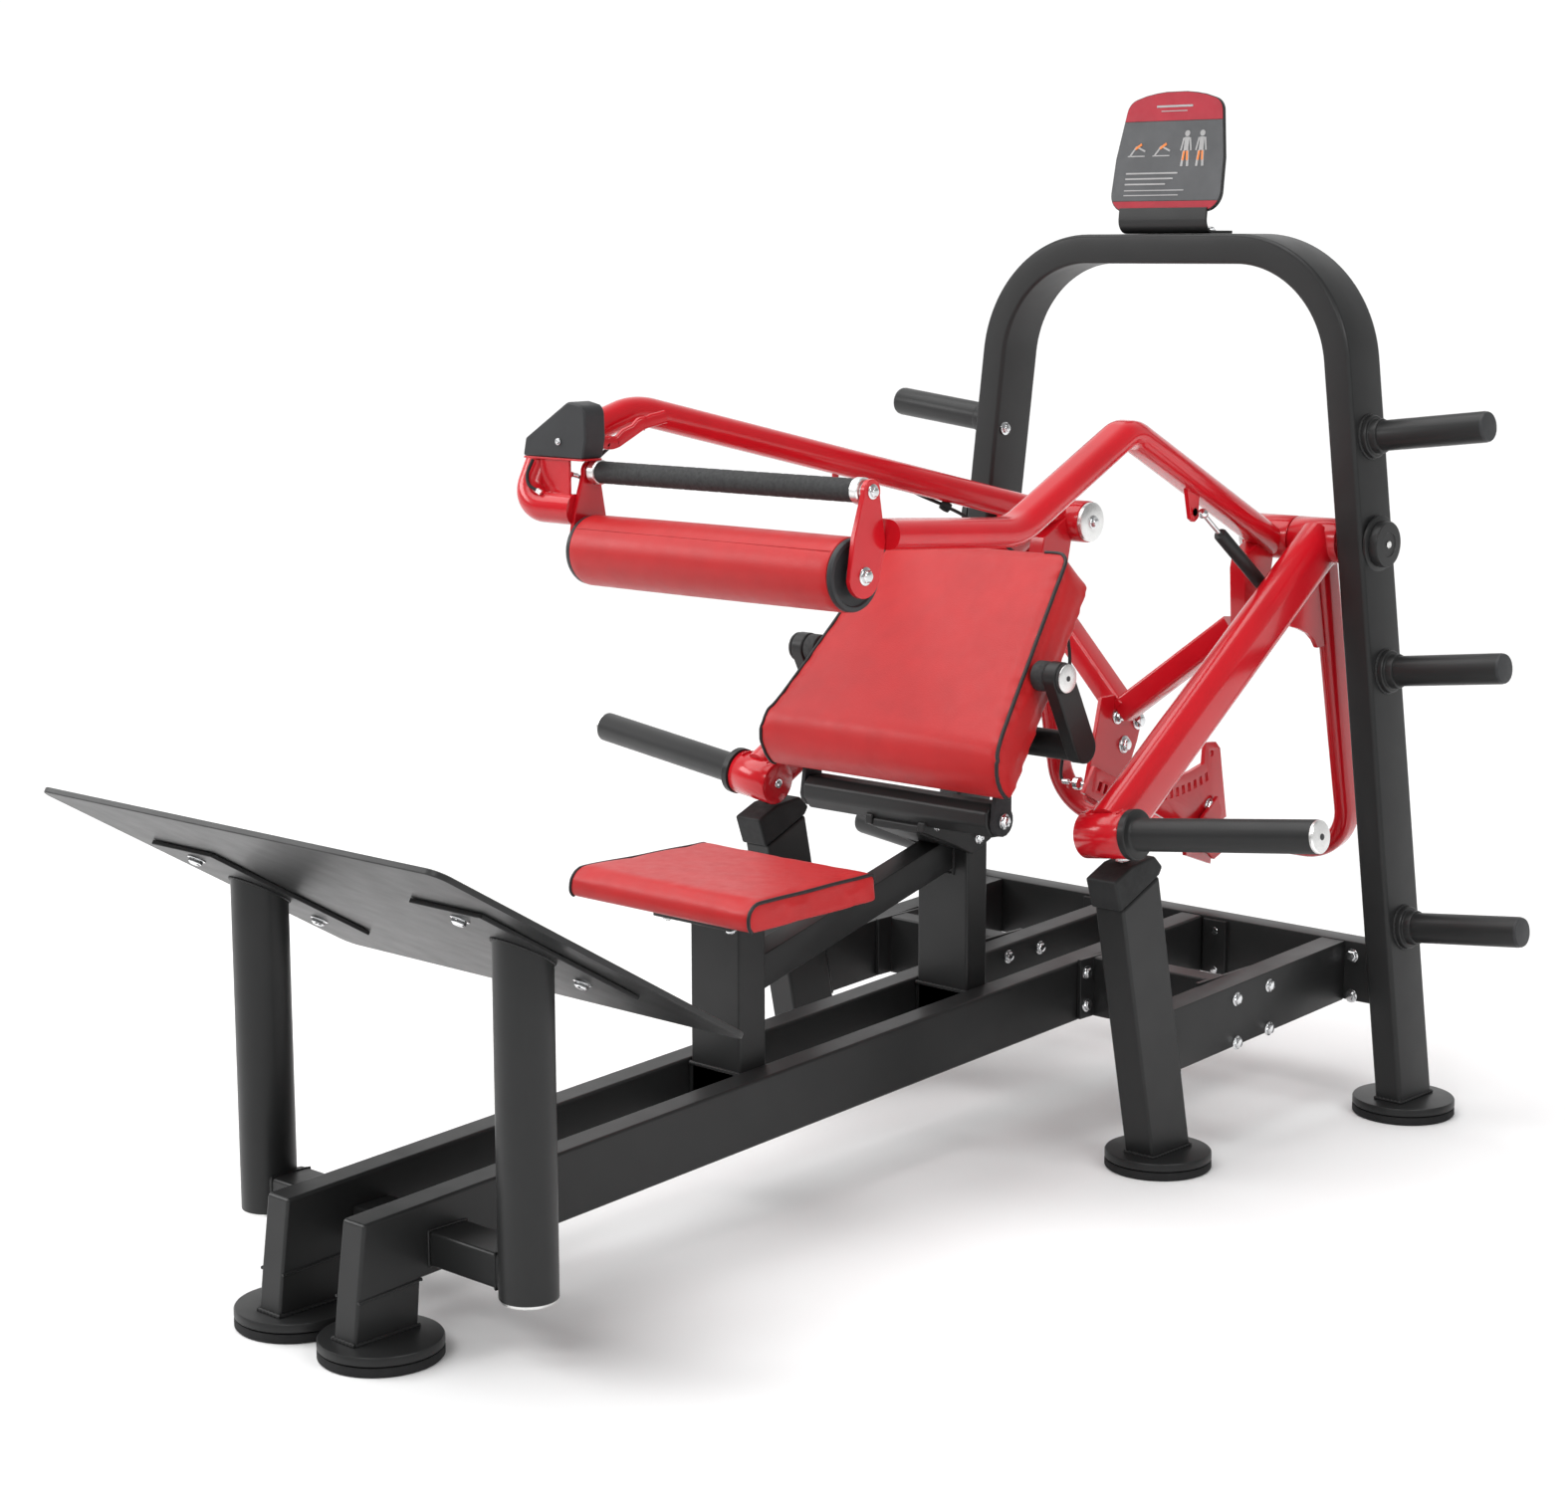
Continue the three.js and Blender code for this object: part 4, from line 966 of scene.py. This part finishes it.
def make_cable():
    pin = polar(SECTOR_R, PIN)
    points = [
        (-340, -190, 1060),
        (-345, -150, 1052),
        (-375, -110, 1076),
        (-388, 0, 1126),
        (-380, 60, 1126),
        (-344, 240, 1082),
        (-310, 440, 1033),
        (-287, 560, 984),
        (-262, 592, 966),
        (-236, 640, 935),
        (-150, 700, 850),
        (-86, 706, 740),
        (-84, pin[0] + 14, pin[1] + 60),
        (-78, pin[0] + 1, pin[1] + 8),
        (-62, pin[0], pin[1]),
    ]
    cable = sweep(smooth_path(points, 12), (1, 0, 0), circle(2.9, 14))
    skin("release_cable", cable, SLEEVE, "hip_yoke")
    sleeve_end = [(2.6, -9), (4.4, -8), (4.4, 3.4), (3, 4)]
    ferrules = merged(
        turned(sleeve_end, points[0], (0, -0.97, 0.24), 24),
        turned(sleeve_end, (-64.5, pin[0], pin[1]), (1, 0, 0), 24),
    )
    piece("cable_ferrules", ferrules, CHROME, "hip_yoke")
    grommet = turned([(4, -9), (8, -8), (9, 0), (8, 8), (4, 9)], (-262, 592, 966), (0.5, 0.7, -0.5), 24)
    piece("cable_grommet", grommet, RUBBER, "hip_yoke")
    piece("pin_wire", rod((-64, *pin), (-45, *pin), 0.9, 12, 0.2), CHROME, "pull_pin")


def make_roller():
    y, z = ROLLER
    body = [(50, -253), (51.6, -252)]
    for k in range(51):
        x = -250 + 10 * k
        body.append((52.2 + 0.6 * math.cos(math.pi * x / 500), x))
    body += [(51.6, 252), (50, 253)]
    cover = turned(body, (0, y, z), (1, 0, 0), 96)
    roller = piece("roller_pad", cover, VINYL, "roller", stands_for=("hip_roller",))
    ring = [(40, 252.6), (49.6, 253), (51, 254.4), (51, 259), (49.6, 261.6), (44, 262), (42, 259)]
    ring += [(16, 258), (14, 262), (7, 262.4), (6, 269.6)]
    piece("roller_ends", both(turned(ring, (0, y, z), (1, 0, 0), 72)), PLASTIC, "roller")
    rear = Vector((0, math.cos(2.4), math.sin(2.4))) * 52.7
    seam = [Vector((x, y, z)) + rear for x in range(-250, 251, 10)]
    piece("roller_seam", sweep(seam, (0, 1, 0), circle(0.9, 8)), VINYL, "roller")


# ---- pads
VOXEL = 0.005
CLOTH_FRAMES = 20


def even_out(mesh, rounds, inset=0.0):
    """A mesh smoothed, then drawn in along its normals."""
    bm = bmesh.new()
    bm.from_mesh(mesh)
    axes = {"use_axis_x": True, "use_axis_y": True, "use_axis_z": True}
    for _ in range(rounds):
        bmesh.ops.smooth_vert(bm, verts=bm.verts, factor=0.5, **axes)
    bm.normal_update()
    for v in bm.verts:
        v.co -= v.normal * inset
    bm.to_mesh(mesh)
    bm.free()


def blow_up(made, cap, freedom):
    """Cloth under pressure, no vertex moved further than the cap times its freedom."""
    rest = [v.co.copy() for v in made.data.vertices]
    cloth = made.modifiers.new("cloth", "CLOTH")
    cloth.settings.quality = 4
    cloth.settings.mass = 0.35
    cloth.settings.use_pressure = True
    cloth.settings.uniform_pressure_force = 2.5
    cloth.settings.effector_weights.gravity = 0.0
    for f in range(1, CLOTH_FRAMES + 1):
        scene.frame_set(f)
    view = bpy.context.evaluated_depsgraph_get()
    blown = [v.co.copy() for v in made.evaluated_get(view).data.vertices]
    made.modifiers.remove(cloth)
    scene.frame_set(1)
    for v, a, b in zip(made.data.vertices, rest, blown):
        step = b - a
        limit = cap * freedom(a)
        if step.length > limit:
            step = step.normalized() * limit
        v.co = a + step


def soften(name, node, body, inset, cap, freedom):
    """Foam under vinyl: the CAD solid drawn in, rounded, and blown up as cloth."""
    mesh = NODES[node].data.copy()
    mesh.name = name
    made = bpy.data.objects.new(name, mesh)
    scene.collection.objects.link(made)
    remesh = made.modifiers.new("skin", "REMESH")
    remesh.mode = "VOXEL"
    remesh.voxel_size = VOXEL
    apply_modifiers(made)
    even_out(made.data, 2, inset / 1000.0)
    blow_up(made, cap / 1000.0, freedom)
    even_out(made.data, 2)
    made.data.materials.clear()
    made.data.materials.append(VINYL)
    made.data.shade_smooth()
    fine = made.modifiers.new("fine", "SUBSURF")
    fine.levels = fine.render_levels = 1
    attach(made, body)
    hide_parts(node)
    return made


def apply_modifiers(made):
    view = bpy.context.evaluated_depsgraph_get()
    mesh = bpy.data.meshes.new_from_object(made.evaluated_get(view))
    made.modifiers.clear()
    made.data = mesh


def piping(name, points, r, body, pad):
    """A cord sewn to the nearest place on the pad all along a line."""
    path = []
    for p in smooth_path(points, 5):
        _, spot, normal, _ = pad.closest_point_on_mesh(place(*p))
        x, y, z = spot * 1000.0
        path.append(Vector((x, y - MIDDLE_Y, z)) + normal * (r * 0.35))
    for _ in range(2):
        path = [path[0]] + [(a + b * 2 + c) / 4 for a, b, c in zip(path, path[1:], path[2:])] + [path[-1]]
    return piece(name, sweep(path, (0, 0.3, 0.9), circle(r, 12)), PIPING, body)


def ramp(value, start, width):
    return min(1.0, max(0.0, (value - start) / width))


def pad_half(s):
    """Half the back pad's width, s up its face: it narrows above its thick lower end."""
    return 240.0 - max(0.0, s - 556) * 54.0 / 352.0


def seat_half(y):
    """Half the seat's width, which narrows towards the back rest."""
    return 184 - (y + 363) * 11 / 286


def make_pads():
    def above_board(p):
        return ramp(p.z, 0.464, 0.02)

    seat = soften("seat_cushion", "seat_pad", "frame", 1.5, 2.5, above_board)
    edge = arc(-336, 480, 24.4, 215, 90, 10) + [(-280, 504.4), (-180, 504.4), (-100, 504.4)]
    edge += arc(-91, 491, 13, 80, 0, 4)
    for label, sign in SIDES:
        low = [(sign * 180, -352.5, 462.5), (sign * 180.2, -356, 464)]
        line = [(sign * (seat_half(cy) - 3.6), cy, cz) for cy, cz in edge]
        piping("seat_piping_" + label, low + line, 2.7, "frame", seat)

    def away_from_board(p):
        n = -p.y * math.sin(PAD_TILT) + p.z * math.cos(PAD_TILT)
        n += MIDDLE_Y / 1000.0 * math.sin(PAD_TILT)
        return ramp(n, 0.289, 0.03)

    back = soften("back_cushion", "back_pad", "back_rest", 1.8, 3.0, away_from_board)
    profile = [(532, 289), (531, 300)] + arc(590, 303.5, 59.4, 180, 90, 14)
    profile += [(s, 363.4) for s in (620, 680, 740, 800, 860, 905)]
    top_corner = ((180, 919), (167, 930), (147, 936), (129, 937.5))
    for label, sign in SIDES:
        line = [(sign * (pad_half(s) - 3.8), *on_pad(s, n)) for s, n in profile]
        line += [(sign * x, *on_pad(s, 362.8)) for x, s in top_corner]
        piping("back_piping_" + label, line, 3.0, "back_rest", back)


HANDLE, HANDLE_BAR = (234, 764), (292, 651)


def make_back_board():
    refined("back_board", BOARD, "back_rest", 1.6)
    heads = []
    for x in (-120, 120):
        for s in (600, 720, 860):
            y, z = on_pad(s, 273.8)
            heads.append(bolt((x, y, z), (0, math.sin(PAD_TILT), -math.cos(PAD_TILT)), 6))
    for sign in (-1, 1):
        heads.append(bolt((sign * 197.4, *HINGE), (sign, 0, 0), 8))
    piece("back_board_bolts", merged(*heads), CHROME, "back_rest")
    bar = rod((-241.6, *HANDLE_BAR), (241.6, *HANDLE_BAR), 22, 56)
    lug = prism([on_pad(645, 273.6), (274, 644), (296, 668), on_pad(683, 273.6)], 90, 104)
    skin("pad_handle_bar", merged(bar, both(lug)), BLACK, "back_rest", angle=40)
    arm = arc(*HANDLE, 24, 27, 207, 20) + arc(*HANDLE_BAR, 24, 207, 387, 20)
    detail("pad_handle_arm", prism(arm, 242, 266), BLACK, "back_rest", 3)
    centre = (0, *HANDLE)
    inner_end = [(20, 218), (22.6, 219), (23, 221), (23, 239), (21, 241.6)]
    outer_end = [(21, 266.2), (23, 267), (23, 270), (22, 271.4)]
    grips = [turned(profile, centre, (1, 0, 0), 56) for profile in (inner_end, outer_end)]
    pair("pad_handle", merged(*grips), GRIP, "back_rest")
    cap = turned([(21.8, 270.6), (21.4, 272.4), (19, 273.2), (6, 273.4)], centre, (1, 0, 0), 48)
    detail("pad_handle_cap", cap, CAP, "back_rest")
    dot = turned([(4.4, 273), (4, 274.2), (2, 274.4)], centre, (1, 0, 0), 24)
    detail("pad_handle_dot", dot, PLASTIC, "back_rest")


# ---- small moving parts
def make_release_lever():
    """A bent bar with finger grooves along its lower edge."""
    corners = [(-330, -164, 1112), (-320, -126, 1104), (-308, -74, 1134), (-300, -34, 1142)]
    path = smooth_path(rounded(corners, (30, 40), 8), 3)
    rings = []
    for p, u, w in carried(path, (1, 0, 0)):
        groove = 1.6 * math.sin((p.y + 164) / 130 * 5 * 2 * math.pi)
        ring = []
        for a, b in round_box(9.6, 20, 4.7, 5):
            ring.append(p + u * a + w * (b - (groove if b < 0 else 0)))
        rings.append(ring)
    lever = loops(rings)
    skin("release_lever", lever, RED, "release_lever", angle=60)


KNOB_FACE = -46.0  # where the knob meets the cable's wire


def make_pull_pin():
    profile = [(3.9, 0), (3.9, 29), (8, 30), (11, 32), (11, 58), (9, 61), (4, 62)]
    points, faces = turned(profile, (-4.8, *polar(SECTOR_R, PIN)), (-1, 0, 0), 32)
    knob = [(max(x, KNOB_FACE), y, z) for x, y, z in points]
    skin("pull_pin", (knob, faces), CHROME, "pull_pin")


def make_gas_spring():
    foot, top = Vector((269, 762, 850)), Vector((258, 592, 986))
    run = (top - foot).normalized()
    barrel = turned([(9, 9), (11, 11), (11, 157), (9.4, 160), (4.6, 160.4)], foot, run, 40)
    skin("gas_cylinder", barrel, BLACK, "gas_cylinder")
    eye = turned([(3, -7), (6.4, -5), (7.4, 0), (6.4, 5), (5, 9), (5, 12)], foot, run, 32)
    piece("gas_foot_ball", eye, CAP, "gas_cylinder")
    rod_and_eye = [(3.9, 62), (3.9, 208), (6, 209), (8, 213), (8, 217), (6, 221), (3, 222)]
    stem = turned(rod_and_eye, foot, run, 32)
    skin("gas_rod", stem, CHROME, "gas_rod")


# ---- studio
FLOOR = 600.0


def make_floor():
    mesh = bpy.data.meshes.new("floor")
    mesh.from_pydata(square(FLOOR, -FLOOR, FLOOR, 0), [], [(0, 1, 2, 3)])
    s = Shader("pale_floor", 0.7)
    s.mottle(s.noise(1.5, 3.0), (0.94, 0.94, 0.94), 0.01 / 0.94, 0.3, 0.7)
    mesh.materials.append(s.material)
    floor = bpy.data.objects.new("floor", mesh)
    scene.collection.objects.link(floor)


def make_lights():
    scene.view_settings.view_transform = "Standard"
    sun = bpy.data.lights.new("overhead", "SUN")
    sun.energy = 2.3
    sun.angle = math.radians(60)
    above = bpy.data.objects.new("overhead", sun)
    above.rotation_euler = (math.radians(14), math.radians(-18), 0)
    scene.collection.objects.link(above)
    lamps = (
        ("left_box", (-3.4, -2.6, 2.6), (2.6, 1.3), 70),
        ("right_box", (3.6, -0.4, 3.0), (3.0, 0.7), 60),
        ("front_box", (1.6, -4.6, 3.6), (2.4, 0.8), 60),
    )
    for name, position, (width, height), power in lamps:
        data = bpy.data.lights.new(name, "AREA")
        data.shape = "RECTANGLE"
        data.size = width
        data.size_y = height
        data.energy = power
        lamp = bpy.data.objects.new(name, data)
        lamp.location = position
        aim = Vector((0, 0.1, 0.6)) - Vector(position)
        lamp.rotation_euler = aim.to_track_quat("-Z", "Y").to_euler()
        scene.collection.objects.link(lamp)


def make_world():
    """A white sweep behind the machine and a dimmer room in front of it."""
    world = bpy.data.worlds.new("studio")
    world.use_nodes = True
    tree = world.node_tree
    coords = tree.nodes.new("ShaderNodeTexCoord")
    facing = tree.nodes.new("ShaderNodeVectorMath")
    facing.operation = "DOT_PRODUCT"
    facing.inputs[1].default_value = (-0.68, 0.73, -0.1)
    tree.links.new(coords.outputs["Generated"], facing.inputs[0])
    level = tree.nodes.new("ShaderNodeMapRange")
    for end, value in (("From Min", 0.1), ("From Max", 0.85), ("To Min", 0.3), ("To Max", 1.06)):
        level.inputs[end].default_value = value
    tree.links.new(facing.outputs["Value"], level.inputs["Value"])
    tree.links.new(level.outputs["Result"], tree.nodes["Background"].inputs["Strength"])
    tree.nodes["Background"].inputs["Color"].default_value = (1, 1, 1, 1)
    scene.world = world


for build in (
    make_rails,
    make_feet,
    make_foot_plate,
    make_plate_posts,
    make_seat_mount,
    make_brace_and_post,
    make_stop_posts,
    make_beams,
    make_arch,
    make_placard,
    make_storage_horns,
    make_axles,
    make_weight_arm,
    make_u_tube,
    make_yoke,
    make_v_frame,
    make_front,
    make_cover,
    make_cable,
    make_roller,
    make_pads,
    make_back_board,
    make_release_lever,
    make_pull_pin,
    make_gas_spring,
    make_floor,
    make_world,
    make_lights,
):
    build()
